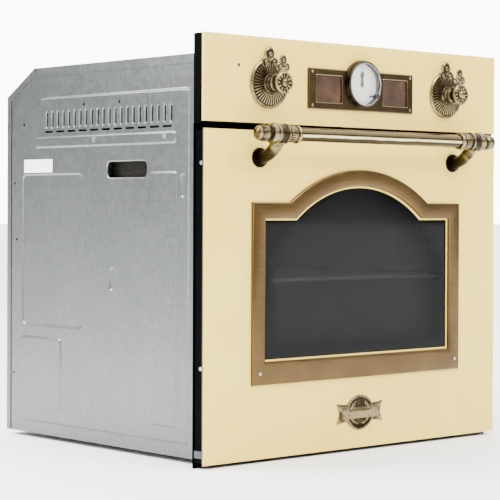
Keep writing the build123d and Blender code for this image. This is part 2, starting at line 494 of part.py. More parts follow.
def clock():
    plate = rect(-PLATE_HALF, PLATE_HALF, PLATE_LOW, PLATE_HIGH, 2)
    windows = rect(-PANE_TO, -PANE_FROM, PANE_LOW, PANE_HIGH, 1)
    windows += rect(PANE_FROM, PANE_TO, PANE_LOW, PANE_HIGH, 1)
    frame = plate_xz(plate, FACE_Y, 4)
    frame = chamfer(frame.edges().group_by(Axis.Y)[0], 1.4)
    frame -= plate_xz(windows, FACE_Y + 1, 8)
    frame -= rod_y(0, FACE_Y - 20, FACE_Y + 1, CLOCK_Z, CLOCK_R + 0.1)
    keep("clock_plate", frame)
    slack = 0.2
    panes = []
    for x0, x1 in ((-PANE_TO, -PANE_FROM), (PANE_FROM, PANE_TO)):
        pane = rect(x0 + slack, x1 - slack, PANE_LOW + slack, PANE_HIGH - slack, 1.2)
        panes.append(plate_xz(pane, FACE_Y, 2.2))
    keep("clock_windows", Compound(children=panes))
    ring = turned_y([(DIAL_R + 0.1, 0), (CLOCK_R, 0), (CLOCK_R, -8), (CLOCK_R - 1.5, -11),
                     (CLOCK_R - 3.5, -12), (DIAL_R + 0.1, -11.2)], 0, FACE_Y, CLOCK_Z)
    keep("clock_ring", ring)
    dial = rod_y(0, FACE_Y - 2.2, FACE_Y - 1, CLOCK_Z, DIAL_R)
    dial -= rod_y(0, FACE_Y - 5, FACE_Y, CLOCK_Z, 2.6)
    dial -= rod_y(SET_X, FACE_Y - 5, FACE_Y, CLOCK_Z + SET_DZ, 1.8)
    keep("clock_dial", dial)
    glass = rod_y(0, FACE_Y - 10, FACE_Y - 9, CLOCK_Z, DIAL_R)
    glass -= rod_y(SET_X, FACE_Y - 12, FACE_Y - 5, CLOCK_Z + SET_DZ, 1.8)
    keep("clock_glass", glass)
    case = rod_y(0, FACE_Y - 0.9, 14, CLOCK_Z, 25)
    case -= rod_y(0, FACE_Y - 2, FACE_Y + 4, CLOCK_Z, 3)
    case -= rod_y(SET_X, FACE_Y - 2, FACE_Y + 7, CLOCK_Z + SET_DZ, 2)
    keep("clock_movement", case)
    hour = Pos(0, 6) * Rectangle(2.6, 16) + Circle(3.4) - Circle(1.75)
    hour += Pos(0, 14.5) * Rot(0, 0, 30) * RegularPolygon(2.4, 3)
    hand = extrude(Plane.XZ.offset(-FACE_Y + 3) * Pos(0, CLOCK_Z) * hour, 0.5)
    hand += rod_y(0, FACE_Y - 3.1, FACE_Y + 2, CLOCK_Z, 2.3) - rod_y(0, FACE_Y - 5, FACE_Y + 3, CLOCK_Z, 1.6)
    keep("hour_hand", hand)
    minute = Pos(0, 8.5) * Rectangle(1.7, 24) + Circle(2.6)
    hand = extrude(Plane.XZ.offset(-FACE_Y + 4.2) * Pos(0, CLOCK_Z) * minute, 0.5)
    hand += rod_y(0, FACE_Y - 4.4, FACE_Y + 3, CLOCK_Z, 1.3)
    keep("minute_hand", hand)
    setter = rod_y(SET_X, FACE_Y - 19, FACE_Y - 13, CLOCK_Z + SET_DZ, 3.8)
    setter = chamfer(setter.edges().group_by(Axis.Y)[0], 0.7)
    setter += rod_y(SET_X, FACE_Y - 13.5, FACE_Y + 6, CLOCK_Z + SET_DZ, 1.5)
    keep("clock_setter", setter)


# ---- Door --------------------------------------------------------------------------------------
def door_skin():
    half = FRONT_WIDTH / 2
    skin = block(-half, half, FACE_Y, FACE_Y + SKIN_DEPTH, DOOR_LOW, DOOR_HIGH)
    skin = fillet(skin.edges().group_by(Axis.Y)[0], 1.2)
    skin -= block(-half + 1.5, half - 1.5, FACE_Y + 1.5, FACE_Y + 9, DOOR_LOW + 1.5, DOOR_HIGH - 1.5)
    lip = {k: v - LIP if k in ("half_width", "arch_half", "shoulder", "peak") else v + LIP
           for k, v in WINDOW.items()}
    skin -= plate_xz(arched(**lip), FACE_Y + 4, 9)
    keep("door_skin", skin)


def door_box():
    """Side channels, rails and inner liner of the door, with its two glasses and the window's bezel."""
    wall = SHEET_STEEL
    half = FRONT_WIDTH / 2 - wall
    front, back = FACE_Y + SKIN_DEPTH, DOOR_BACK
    channel = block(264, half, front, back, BOX_LOW, DOOR_HIGH - 2)
    channel -= block(260, half - wall, front + wall, back - wall, BOX_LOW + wall, DOOR_HIGH - 2 - wall)
    keep("door_channels", Compound(children=[channel, mirror(channel, Plane.YZ)]))
    top = block(-264, 264, front, back, 436, DOOR_HIGH - 2) - block(
        -262, 262, front + wall, back - wall, 430, DOOR_HIGH - 2 - wall)
    top -= [block(x - 16, x + 16, front + 4, back - 4, 445, 460) for x in [-220 + 40 * i for i in range(12)]]
    low = block(-264, 264, front, back, BOX_LOW, 24)
    low -= block(-262, 262, front + wall, back - wall, BOX_LOW + wall, 30)
    low -= [block(side * HINGE_X - 10, side * HINGE_X + 10, front - 1, back + 1, DOOR_LOW, 40)
            for side in (-1, 1)]
    keep("door_rails", Compound(children=[top, *low.solids()]))
    liner = block(-256, 256, DOOR_BACK, 4, 44, 437)
    liner = fillet(liner.edges().filter_by(Axis.Y), 8)
    liner -= block(-222, 222, DOOR_BACK - 3, 9, 84, 402)
    liner -= block(-253, 253, DOOR_BACK - 3, 2.5, 47, 434)
    keep("door_liner", liner)
    keep("inner_glass", plate_xz(rect(-255, 255, 46, 436, 8), 8, 4))
    keep("window_glass", plate_xz(rect(-228, 228, 118, 398, 6), FACE_Y + 5.5, 4))
    bezel = plate_xz(arched(**BEZEL) - arched(**WINDOW), FACE_Y, 5)
    bezel = chamfer(bezel.edges().group_by(Axis.Y)[0], 1.8)
    keep("window_bezel", bezel)


def badge():
    """Plain cartouche: a round boss across a short banner."""
    shape = rect(-47, 47, BADGE_Z - 15, BADGE_Z + 15, 1) + Pos(0, BADGE_Z) * Ellipse(29, 25.5)
    plate = plate_xz(shape, FACE_Y, 2.0)
    rim = Pos(0, BADGE_Z) * (Ellipse(27, 23.5) - Ellipse(24.4, 20.9))
    keep("door_badge", plate + plate_xz(rim, FACE_Y - 1.99, 1.0))


def handle():
    """Bar with turned ends, on swan-neck brackets, and the screws that show on the door."""
    keep("handle_bar", rod_x(-BAR_HALF, BAR_HALF, BAR_Y, BAR_Z, BAR_R))
    end = turned_x([(165, BAR_R + 0.05), (165, 12), (167, 13.2), (170, 13.2), (171.5, COLLAR_R),
                    (206, COLLAR_R), (207.5, 13), (210, 14.3), (214, 14.5), (217, 13), (218, 8.5),
                    (221, 8), (222.5, 10.5),
                    (226, 11.4), (236, 11.4), (240, 9), (241.5, 5), (242, 0), (BAR_HALF + 0.1, 0),
                    (BAR_HALF + 0.1, BAR_R + 0.05)],
                   0, BAR_Y, BAR_Z)
    keep("handle_ends", Compound(children=[end, mirror(end, Plane.YZ)]))
    y, z = FACE_Y, BRACKET_Z
    base = Plane(origin=(BRACKET_X, y - 5, z), z_dir=(0, -1, 0)) * Circle(12)
    mid = Plane(origin=(BRACKET_X, y - 22, z + 7), z_dir=(0, -0.86, 0.5)) * Circle(9.5)
    head = Plane(origin=(BRACKET_X, BAR_Y + 3, BAR_Z - 9), z_dir=(0, -0.35, 0.94)) * Ellipse(8.5, 8)
    rosette = turned_y([(0, -6), (11, -6), (13.5, -4), (14, 0), (0, 0)], BRACKET_X, y, z)
    arm = loft([base, mid, head]) + rosette
    arm += rod_x(BRACKET_X - 7, BRACKET_X + 7, BAR_Y, BAR_Z, 14.2)
    arm -= rod_x(BRACKET_X - 20, BRACKET_X + 20, BAR_Y, BAR_Z, COLLAR_R + 0.05)
    keep("handle_brackets", Compound(children=[arm, mirror(arm, Plane.YZ)]))
    heads = []
    for side in (-1, 1):
        for sz in (129.0, 408.0):
            x0 = FRONT_WIDTH / 2 - 1.5
            head = rod_x(x0, x0 + 1.4, -16.6, sz, 2.8) - block(x0 + 0.8, x0 + 3, -19, -14, sz - 0.4, sz + 0.4)
            heads.append(mirrored(head, side))
        x, z = side * 200.0, 117.0
        screw = rod_y(x, FACE_Y - 6.2, FACE_Y - 5, z, 2.4)
        heads.append(screw - block(x - 2, x + 2, FACE_Y - 7, FACE_Y - 5.8, z - 0.4, z + 0.4))
    keep("door_screws", Compound(children=heads))


def hinges():
    """Drop-down hinges: fixed arms in the frame's receivers, and cases with pins in the door."""
    arms, cases, pins = [], [], []
    for side in (-1, 1):
        x = side * HINGE_X
        arm = rod_x(x - 2.5, x + 2.5, HINGE_Y, HINGE_Z, 5.5)
        arm += block(x - 2.5, x + 2.5, HINGE_Y, 52, ARM_Z - 4.5, ARM_Z + 4.5)
        arm += block(x - 2.5, x + 2.5, 4, 52, ARM_Z - 4.5, ARM_Z + 17)
        arms.append(arm - rod_x(x - 5, x + 5, HINGE_Y, HINGE_Z, 2.55))
        case = block(x - 7, x + 7, FACE_Y + 5, DOOR_BACK - 1, DOOR_LOW + 2, 150)
        case -= block(x - 5.5, x + 5.5, FACE_Y + 6.2, 0, DOOR_LOW, 149)
        case -= block(x - 5.5, x + 5.5, FACE_Y, 0, DOOR_LOW, HINGE_Z + 8)
        case -= [rod_x(x + 5, x + 8, HINGE_Y, HINGE_Z, 2.5), rod_x(x - 8, x - 5, HINGE_Y, HINGE_Z, 2.5)]
        cases.append(case)
        pin = rod_x(x - 7, x + 7, HINGE_Y, HINGE_Z, 2.5)
        pin += rod_x(x + 7, x + 8.2, HINGE_Y, HINGE_Z, 3.4) + rod_x(x - 8.2, x - 7, HINGE_Y, HINGE_Z, 3.4)
        pins.append(pin)
    keep("hinge_arms", Compound(children=arms))
    keep("hinge_cases", Compound(children=cases))
    keep("hinge_pins", Compound(children=pins))


for make in (housing, front_frame, cavity, gasket, lamp, elements, fans, racks, contents, insulation, blower,
             electrics, control_panel, controls, clock, door_skin, door_box, badge, handle, hinges):
    make()

for name, shape in nodes.items():
    export_step(shape, f"parts/{name}.step")
print(len(nodes), "nodes written")
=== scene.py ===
# %% [markdown]
# # A built-in wall oven with an ivory front and bronze fittings
# The oven is a galvanised box with an enamelled front. The exact sizes, the hinges and everything that
# moves come from a CAD model, which this script loads as a frame and never changes. What is left to do
# here is what the eye reads: the finish of every sheet and casting, and the cast and turned ornaments,
# which are easier to shape as meshes than as solids.

# %% Load the frame
import bmesh
import bpy
from math import atan2, cos, hypot, pi, radians, sin
from mathutils import Matrix, Vector


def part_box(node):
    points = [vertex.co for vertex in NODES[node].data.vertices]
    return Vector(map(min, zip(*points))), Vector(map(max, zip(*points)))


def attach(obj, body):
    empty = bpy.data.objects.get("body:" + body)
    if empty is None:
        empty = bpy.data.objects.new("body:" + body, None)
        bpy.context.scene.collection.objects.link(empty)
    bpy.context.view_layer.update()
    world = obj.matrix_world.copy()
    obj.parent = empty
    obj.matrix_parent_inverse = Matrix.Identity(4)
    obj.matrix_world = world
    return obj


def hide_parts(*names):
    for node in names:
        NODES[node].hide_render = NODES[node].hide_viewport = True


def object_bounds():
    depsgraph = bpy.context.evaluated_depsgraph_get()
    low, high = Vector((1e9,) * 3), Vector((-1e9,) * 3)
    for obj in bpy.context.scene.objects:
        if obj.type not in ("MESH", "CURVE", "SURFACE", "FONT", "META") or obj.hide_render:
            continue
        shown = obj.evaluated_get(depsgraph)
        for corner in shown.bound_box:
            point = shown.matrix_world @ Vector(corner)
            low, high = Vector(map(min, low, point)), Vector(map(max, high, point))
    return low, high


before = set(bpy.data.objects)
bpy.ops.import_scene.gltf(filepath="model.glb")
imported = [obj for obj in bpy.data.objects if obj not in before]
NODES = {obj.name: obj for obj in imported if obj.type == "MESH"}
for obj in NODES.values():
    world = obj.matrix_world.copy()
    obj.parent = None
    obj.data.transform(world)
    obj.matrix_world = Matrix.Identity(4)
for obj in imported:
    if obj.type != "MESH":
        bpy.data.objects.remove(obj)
cad_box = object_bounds()
MM = 0.001
print("CAD nodes:", len(NODES))

# %% [markdown]
# Positions are read from the frame, so that each ornament lands where its solid is. Directions in the
# object are simple: +X is to the right, the door faces -Y, and +Z is up.

# %% Places taken from the frame
fascia_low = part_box("control_fascia")[0]
FACE_Y = fascia_low.y / MM
skirt_low, skirt_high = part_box("selector_knob")
KNOB_X = -(skirt_low.x + skirt_high.x) / 2 / MM
KNOB_SKIRT_R = (skirt_high.x - skirt_low.x) / 2 / MM
KNOB_Z = skirt_low.z / MM + KNOB_SKIRT_R
KNOB_BACK = skirt_high.y / MM
ring_low, ring_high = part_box("clock_ring")
CLOCK_Z = (ring_low.z + ring_high.z) / 2 / MM
CLOCK_R = (ring_high.x - ring_low.x) / 2 / MM
bar_low, bar_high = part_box("handle_bar")
BAR_Y = (bar_low.y + bar_high.y) / 2 / MM
BAR_Z = (bar_low.z + bar_high.z) / 2 / MM
BAR_R = (bar_high.z - bar_low.z) / 2 / MM
bracket_low, bracket_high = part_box("handle_brackets")
ROSETTE_R = 14.0
BRACKET_X = bracket_high.x / MM - ROSETTE_R
BRACKET_Z = bracket_low.z / MM + ROSETTE_R
print("knobs at", round(KNOB_X, 1), round(KNOB_Z, 1), "bar at", round(BAR_Y, 1), round(BAR_Z, 1))

# %% [markdown]
# ## Camera, floor and light
# The camera stands about two and a half metres away at the height of the window, and looks at the corner
# between the left side and the front. A long lens from far off keeps the upright edges parallel. The
# small lens shift places the oven in the frame without tilting the camera, as a product photographer
# would do with a technical camera.

# %% Camera
YAW, PITCH, ROLL = 0.742, -0.008, 0.004
camera_data = bpy.data.cameras.new("studio_camera")
camera_data.lens = 127.6
camera_data.shift_x = -0.071
camera_data.shift_y = -0.0548
camera_data.clip_end = 100.0
camera = bpy.data.objects.new("studio_camera", camera_data)
bpy.context.scene.collection.objects.link(camera)
turn = Matrix.Rotation(-YAW, 4, "Z") @ Matrix.Rotation(pi / 2 + PITCH, 4, "X") @ Matrix.Rotation(ROLL, 4, "Z")
camera.matrix_world = Matrix.Translation((-1.8317, -1.8595, 0.3467)) @ turn
bpy.context.scene.camera = camera

# %% [markdown]
# The set is a wide pale floor under a bright ceiling, with a lit white wall behind the oven. Enamel and
# bronze show mostly what they reflect, so the surround matters as much as the lamps: it is light above and
# below and dimmer at eye level, which draws light and dark bands round the knobs and, with bands painted
# into the tube's colour, along the handle, and lets the floor brighten the lower half of the galvanised side.


# %% A function that adds a node, and colours given as sRGB
def add(tree, kind, inputs=None, **settings):
    """Adds one node, gives it its settings, and links or sets its inputs."""
    node = tree.nodes.new(kind)
    for key, value in settings.items():
        setattr(node, key, value)
    for key, value in (inputs or {}).items():
        if isinstance(value, bpy.types.NodeSocket):
            tree.links.new(value, node.inputs[key])
        else:
            node.inputs[key].default_value = value
    return node


def srgb(hex_code):
    """A linear colour from an sRGB hex code such as "EADFC0"."""
    levels = [int(hex_code[i:i + 2], 16) / 255 for i in (0, 2, 4)]
    return tuple(c / 12.92 if c <= 0.04045 else ((c + 0.055) / 1.055) ** 2.4 for c in levels) + (1.0,)


# %% Surround and lamps
world = bpy.data.worlds.new("studio")
world.use_nodes = True
bpy.context.scene.world = world
sky = world.node_tree
WALL = (0.676, 0.737, 0.0)
EYE_LEVEL, CEILING_LIGHT, WALL_LIGHT = 0.44, 5.4, 10.8
direction = add(sky, "ShaderNodeTexCoord").outputs["Generated"]
height = add(sky, "ShaderNodeSeparateXYZ", {"Vector": direction}).outputs["Z"]
facing = add(sky, "ShaderNodeVectorMath", {0: direction, 1: WALL}, operation="DOT_PRODUCT").outputs["Value"]
ceiling = add(sky, "ShaderNodeMapRange", {"Value": height, "From Min": 0.15, "From Max": 0.95,
                                          "To Max": CEILING_LIGHT}, interpolation_type="SMOOTHSTEP")
wall = add(sky, "ShaderNodeMapRange", {"Value": facing, "From Min": 0.84, "From Max": 0.96,
                                       "To Max": WALL_LIGHT}, interpolation_type="SMOOTHSTEP")
both = add(sky, "ShaderNodeMath", {0: ceiling.outputs["Result"], 1: wall.outputs["Result"]}, operation="ADD")
total = add(sky, "ShaderNodeMath", {0: both.outputs[0], 1: EYE_LEVEL}, operation="ADD")
sky.links.new(total.outputs[0], sky.nodes["Background"].inputs["Strength"])
sky.nodes["Background"].inputs["Color"].default_value = srgb("FBFCFC")


def soft_box(name, place, target, size, power):
    lamp = bpy.data.lights.new(name, "AREA")
    lamp.shape = "RECTANGLE"
    lamp.size, lamp.size_y = size
    lamp.energy = power
    holder = bpy.data.objects.new(name, lamp)
    bpy.context.scene.collection.objects.link(holder)
    aim = (Vector(target) - Vector(place)).to_track_quat("-Z", "Y")
    holder.matrix_world = Matrix.Translation(place) @ aim.to_matrix().to_4x4()


MIDDLE = (0.0, 0.1, 0.3)
soft_box("key_box", (0.5, -2.3, 2.3), MIDDLE, (0.8, 0.6), 66.0)
soft_box("fill_box", (-2.9, -1.7, 0.9), MIDDLE, (0.9, 1.8), 26.0)
soft_box("floor_box", (-1.2, 0.9, 1.1), (-0.7, 0.4, 0.0), (0.8, 0.8), 48.0)
soft_box("rear_box", (1.0, 2.6, 2.0), MIDDLE, (1.6, 1.2), 20.0)


# %% [markdown]
# ## Finishes
# Each finish is a Principled shader with patterns in real millimetres. Object coordinates are in metres,
# so a pattern that repeats every 9 mm gets a scale of 1000 / 9. Every finish starts from what the real
# material is and how its surface was made.


# %% Helpers for finishes
def per_mm(size):
    """The texture scale that gives a feature of this size in millimetres."""
    return 1000.0 / size


def finish(name, **values):
    """A material with a Principled shader whose plain values are set by name."""
    material = bpy.data.materials.new(name)
    material.use_nodes = True
    shader = material.node_tree.nodes["Principled BSDF"]
    for key, value in values.items():
        shader.inputs[key.replace("_", " ")].default_value = value
    where = add(material.node_tree, "ShaderNodeTexCoord").outputs["Object"]
    return material, material.node_tree, shader, where


def noise(tree, where, size, detail=3.0, stretch=None):
    """Cloudy noise with features of about this size in millimetres, drawn out by stretch along x, y, z."""
    if stretch:
        where = add(tree, "ShaderNodeMapping", {"Vector": where, "Scale": stretch}).outputs["Vector"]
    return add(tree, "ShaderNodeTexNoise", {"Vector": where, "Scale": per_mm(size), "Detail": detail}).outputs["Fac"]


def ramp(tree, factor, *stops):
    """A colour ramp from (position, sRGB hex) stops."""
    node = add(tree, "ShaderNodeValToRGB", {"Fac": factor})
    band = node.color_ramp.elements
    band[0].position, band[1].position = stops[0][0], stops[-1][0]
    for position, _ in stops[1:-1]:
        band.new(position)
    for element, (_, hex_code) in zip(band, stops):
        element.color = srgb(hex_code)
    return node.outputs["Color"]


def spread(tree, factor, low, high, start=0.0, end=1.0):
    """Maps a factor that runs from start to end onto values from low to high."""
    node = add(tree, "ShaderNodeMapRange", {"Value": factor, "From Min": start, "From Max": end,
                                            "To Min": low, "To Max": high})
    return node.outputs["Result"]


def bump(tree, shader, height, depth, strength=1.0):
    """Feeds a height pattern, depth millimetres from its low to its high, to the shader's normal."""
    node = add(tree, "ShaderNodeBump", {"Height": height, "Strength": strength, "Distance": depth * MM})
    tree.links.new(node.outputs["Normal"], shader.inputs["Normal"])


def mix(tree, factor, a, b):
    node = add(tree, "ShaderNodeMix", data_type="RGBA")
    for index, value in ((0, factor), (6, a), (7, b)):
        if isinstance(value, bpy.types.NodeSocket):
            tree.links.new(value, node.inputs[index])
        else:
            node.inputs[index].default_value = value
    return node.outputs[2]


# %% [markdown]
# **Galvanised sheet.** Steel dipped in zinc: the zinc freezes in flat crystals, the spangle, each of which
# reflects a little more or less. Rolling and handling leave it satin, not bright.


# %% Galvanised sheet
def galvanised_sheet():
    material, tree, shader, where = finish("hot_dip_galvanised_sheet", Metallic=1.0)
    cells = add(tree, "ShaderNodeTexVoronoi", {"Vector": where, "Scale": per_mm(7), "Randomness": 1.0})
    crystal = add(tree, "ShaderNodeSeparateColor", {"Color": cells.outputs["Color"]}).outputs["Red"]
    cloud = noise(tree, where, 90, 4.0)
    tone = add(tree, "ShaderNodeMath", {0: crystal, 1: spread(tree, cloud, -0.9, 0.9)}, operation="ADD")
    colour = ramp(tree, spread(tree, tone.outputs[0], 0, 1, -0.6, 1.6), (0.0, "676A6A"), (1.0, "787B7B"))
    tree.links.new(colour, shader.inputs["Base Color"])
    tree.links.new(spread(tree, crystal, 0.29, 0.32), shader.inputs["Roughness"])
    bump(tree, shader, noise(tree, where, 3.0, 2.0), 0.03)
    return material


# %% [markdown]
# ** Vitreous enamel** is powdered glass fused onto steel. It has a hard gloss over a surface that is never
# quite flat, the orange peel. The ivory has a faint warm mottle. The back edge of the door's skin is
# coloured dark brown, so the same finish takes an edge colour that starts a millimetre behind the face.


# %% Enamels
def ivory_enamel(name, brown_from=None):
    material, tree, shader, where = finish(name, Roughness=0.34, Specular_IOR_Level=0.35, Coat_Weight=0.08, Coat_Roughness=0.1)
    colour = ramp(tree, noise(tree, where, 60), (0.35, "E9C755"), (0.65, "ECCD5F"))
    if brown_from is not None:
        depth = add(tree, "ShaderNodeSeparateXYZ", {"Vector": where}).outputs["Y"]
        behind = spread(tree, depth, 0, 1, brown_from * MM, (brown_from + 0.1) * MM)
        colour = mix(tree, behind, colour, srgb("3A2C1A"))
    tree.links.new(colour, shader.inputs["Base Color"])
    bump(tree, shader, noise(tree, where, 4.0, 1.0), 0.02)
    return material


def black_enamel():
    material, tree, shader, where = finish("black_enamelled_steel", Specular_IOR_Level=0.01)
    tree.links.new(ramp(tree, noise(tree, where, 25), (0.3, "010202"), (0.7, "030404")), shader.inputs["Base Color"])
    tree.links.new(spread(tree, noise(tree, where, 12), 0.30, 0.42), shader.inputs["Roughness"])
    bump(tree, shader, noise(tree, where, 2.5, 1.0), 0.02)
    return material


def cavity_enamel():
    """Ground-coat enamel, almost black, with the pale specks that hide scratches."""
    material, tree, shader, where = finish("speckled_cavity_enamel", Roughness=0.22, Coat_Weight=0.3)
    cells = add(tree, "ShaderNodeTexVoronoi", {"Vector": where, "Scale": per_mm(3.2)})
    speck = spread(tree, cells.outputs["Distance"], 1, 0, 0.10, 0.16)
    tree.links.new(mix(tree, speck, srgb("0E0F11"), srgb("4A4D52")), shader.inputs["Base Color"])
    bump(tree, shader, noise(tree, where, 5.0, 1.0), 0.03)
    return material


# %% [markdown]
# **Antique bronze.** Castings and turned parts are plated with bronze, darkened with a patina, and then
# relieved: a buffing wheel takes the patina off the high spots and leaves it in the hollows. Pointiness
# tells ridges from hollows, and a slow noise keeps the buffing uneven.


# %% Bronzes
def antique_bronze(name, hollow, low, high, ridge_tone, rough, smooth, shade_within=0.0):
    """Relieved bronze with four tones from its hollows to its ridges, and its roughest and smoothest.

    Within so many millimetres of the front the colour darkens towards the door: painted shade where the part meets the
    door."""
    material, tree, shader, where = finish(name, Metallic=1.0)
    ridge = add(tree, "ShaderNodeNewGeometry").outputs["Pointiness"]
    wear = spread(tree, ridge, -0.55, 0.55, 0.44, 0.56)
    cloud = spread(tree, noise(tree, where, 11, 4.0), 0.25, 0.85, 0.3, 0.7)
    height = add(tree, "ShaderNodeMath", {0: wear, 1: cloud}, operation="ADD", use_clamp=True).outputs[0]
    # Painted shade: colour and polish fall off towards the door's face, where a bracket's foot meets the door.
    if shade_within:
        depth = add(tree, "ShaderNodeSeparateXYZ", {"Vector": where}).outputs["Y"]
        start = FACE_Y - shade_within
        painted_shade = spread(tree, depth, 1.0, 0.0, start * MM, (start + 0.75 * shade_within) * MM)
        height = add(tree, "ShaderNodeMath", {0: height, 1: painted_shade}, operation="MULTIPLY").outputs[0]
    colour = ramp(tree, height, (0.0, hollow), (0.45, low), (0.75, high), (1.0, ridge_tone))
    tree.links.new(colour, shader.inputs["Base Color"])
    tree.links.new(spread(tree, height, rough, smooth), shader.inputs["Roughness"])
    bump(tree, shader, noise(tree, where, 1.6, 2.0), 0.02)
    return material


def rubbed_tube():
    """The handle's tube: its colour runs in bands across its height, a painted highlight between bands of painted
    shade.
    """
    material, tree, shader, where = finish("bronze_tube_painted_light_bands", Metallic=1.0)
    height = add(tree, "ShaderNodeSeparateXYZ", {"Vector": where}).outputs["Z"]
    across = spread(tree, height, 0, 1, (BAR_Z - BAR_R) * MM, (BAR_Z + BAR_R) * MM)
    uneven = spread(tree, noise(tree, where, 30, 3.0), -0.03, 0.03, 0.3, 0.7)
    place = add(tree, "ShaderNodeMath", {0: across, 1: uneven}, operation="ADD").outputs[0]
    # Painted light: the bright band from 0.35 to 0.46 is a painted highlight, the dark bands beside it are painted
    # shade.
    colour = ramp(tree, place, (0.02, "6E6040"), (0.10, "2A210C"), (0.28, "33290F"), (0.35, "C8B78A"),
                  (0.46, "E2D4AB"), (0.54, "716142"), (0.80, "5A4D30"))
    tree.links.new(colour, shader.inputs["Base Color"])
    tree.links.new(spread(tree, noise(tree, where, 9), 0.14, 0.24), shader.inputs["Roughness"])
    return material


def brushed_bronze(name, dark, light):
    """Rolled bronze strip brushed along its length and lacquered, as on the window frame."""
    material, tree, shader, where = finish(name, Metallic=1.0, Coat_Weight=0.15)
    lines = noise(tree, where, 1.4, 2.0, stretch=(0.04, 1.0, 1.0))
    cloud = noise(tree, where, 70, 3.0)
    tone = add(tree, "ShaderNodeMath", {0: spread(tree, lines, 0.2, 0.55, 0.3, 0.7),
                                        1: spread(tree, cloud, 0.0, 0.45, 0.3, 0.7)}, operation="ADD").outputs[0]
    tree.links.new(ramp(tree, tone, (0.1, dark), (0.9, light)), shader.inputs["Base Color"])
    tree.links.new(spread(tree, lines, 0.30, 0.42, 0.3, 0.7), shader.inputs["Roughness"])
    bump(tree, shader, lines, 0.01)
    return material


def lacquered_brown():
    """The panes beside the clock: brown lacquer over brushed metal, which glows where it is thin."""
    material, tree, shader, where = finish("brown_lacquered_pane", Metallic=0.55, Coat_Weight=0.6, Roughness=0.34)
    cloud = noise(tree, where, 26, 3.0)
    lines = noise(tree, where, 1.2, 2.0, stretch=(0.05, 1.0, 1.0))
    tone = add(tree, "ShaderNodeMath", {0: spread(tree, cloud, 0.0, 0.8, 0.3, 0.7),
                                        1: spread(tree, lines, 0.0, 0.2, 0.3, 0.7)}, operation="ADD").outputs[0]
    tree.links.new(ramp(tree, tone, (0.0, "33241A"), (0.55, "4A3322"), (1.0, "63442B")), shader.inputs["Base Color"])
    bump(tree, shader, lines, 0.01)
    return material


# %% [markdown]
# **Glass.** The door's outer pane is tinted almost black with a printed border, so that the lamp-lit
# middle can be seen through while the edges hide the seals. The tint is coverage here, through alpha.


# %% Glass
ARCH_CENTRE = (0.0, FACE_Y * MM, 0.179)


def tinted_glass():
    material, tree, shader, where = finish("tinted_toughened_glass", Roughness=0.03, IOR=1.5, Specular_IOR_Level=0.10)
    place = add(tree, "ShaderNodeSeparateXYZ", {"Vector": where})
    across = add(tree, "ShaderNodeMath", {0: place.outputs["X"]}, operation="ABSOLUTE").outputs[0]
    from_arch = add(tree, "ShaderNodeVectorMath", {0: where, 1: ARCH_CENTRE}, operation="DISTANCE").outputs["Value"]
    sides = add(tree, "ShaderNodeMath", {0: spread(tree, across, 0, 1, 0.162, 0.187),
                                         1: spread(tree, from_arch, 0, 1, 0.186, 0.206)}, operation="MAXIMUM")
    edge = add(tree, "ShaderNodeMath", {0: sides.outputs[0],
                                        1: spread(tree, place.outputs["Z"], 1, 0, 0.136, 0.156)},
               operation="MAXIMUM").outputs[0]
    tree.links.new(spread(tree, edge, 0.56, 0.98), shader.inputs["Alpha"])
    tree.links.new(ramp(tree, edge, (0.0, "0A0B0C"), (1.0, "040505")), shader.inputs["Base Color"])
    return material


def clear_glass(name, cover):
    material, tree, shader, where = finish(name, IOR=1.5, Alpha=cover, Specular_IOR_Level=0.25)
    tree.links.new(ramp(tree, noise(tree, where, 80), (0.3, "DDE4E2"), (0.7, "E8EEEC")), shader.inputs["Base Color"])
    tree.links.new(spread(tree, noise(tree, where, 30), 0.02, 0.06), shader.inputs["Roughness"])
    return material


# %% [markdown]
# **The small parts** have plainer finishes: chromed wire, stainless steel, oxidised heater tube, moulded
# plastics, glazed ceramic, glass wool and braided seal. Each still gets the grain its surface has.


# %% Small metals
def chromed_wire():
    material, tree, shader, where = finish("chromed_wire", Metallic=1.0)
    tree.links.new(ramp(tree, noise(tree, where, 15), (0.3, "C2C4C6"), (0.7, "D2D4D6")), shader.inputs["Base Color"])
    tree.links.new(spread(tree, noise(tree, where, 6), 0.10, 0.22), shader.inputs["Roughness"])
    return material


def nickel_wire():
    """Dull nickel-plated wire with fine drawing lines."""
    material, tree, shader, where = finish("dull_nickel_wire", Metallic=0.3)
    grain = noise(tree, where, 2.5, 2.0)
    tree.links.new(ramp(tree, grain, (0.3, "D2D4D4"), (0.7, "E6E7E6")), shader.inputs["Base Color"])
    tree.links.new(spread(tree, grain, 0.30, 0.42, 0.3, 0.7), shader.inputs["Roughness"])
    return material


def stainless_steel():
    material, tree, shader, where = finish("pressed_stainless_steel", Metallic=1.0)
    lines = noise(tree, where, 1.0, 2.0, stretch=(1.0, 1.0, 0.06))
    tree.links.new(ramp(tree, lines, (0.3, "A6A8A9"), (0.7, "BDBFC0")), shader.inputs["Base Color"])
    tree.links.new(spread(tree, lines, 0.24, 0.38), shader.inputs["Roughness"])
    return material


def heater_tube():
    material, tree, shader, where = finish("oxidised_heater_tube", Metallic=0.6, Roughness=0.55)
    colour = ramp(tree, noise(tree, where, 8, 5.0), (0.3, "2F2C28"), (0.55, "4B463C"), (0.8, "5D584C"))
    tree.links.new(colour, shader.inputs["Base Color"])
    bump(tree, shader, noise(tree, where, 1.0, 2.0), 0.03)
    return material


# %% Plastics, ceramic, wool, seal and paper
def moulded(name, dark, light, roughness, grain):
    """A moulded, glazed or printed surface with a fine grain."""
    material, tree, shader, where = finish(name, Roughness=roughness)
    tree.links.new(ramp(tree, noise(tree, where, 20), (0.3, dark), (0.7, light)), shader.inputs["Base Color"])
    bump(tree, shader, noise(tree, where, grain, 2.0), 0.03)
    return material


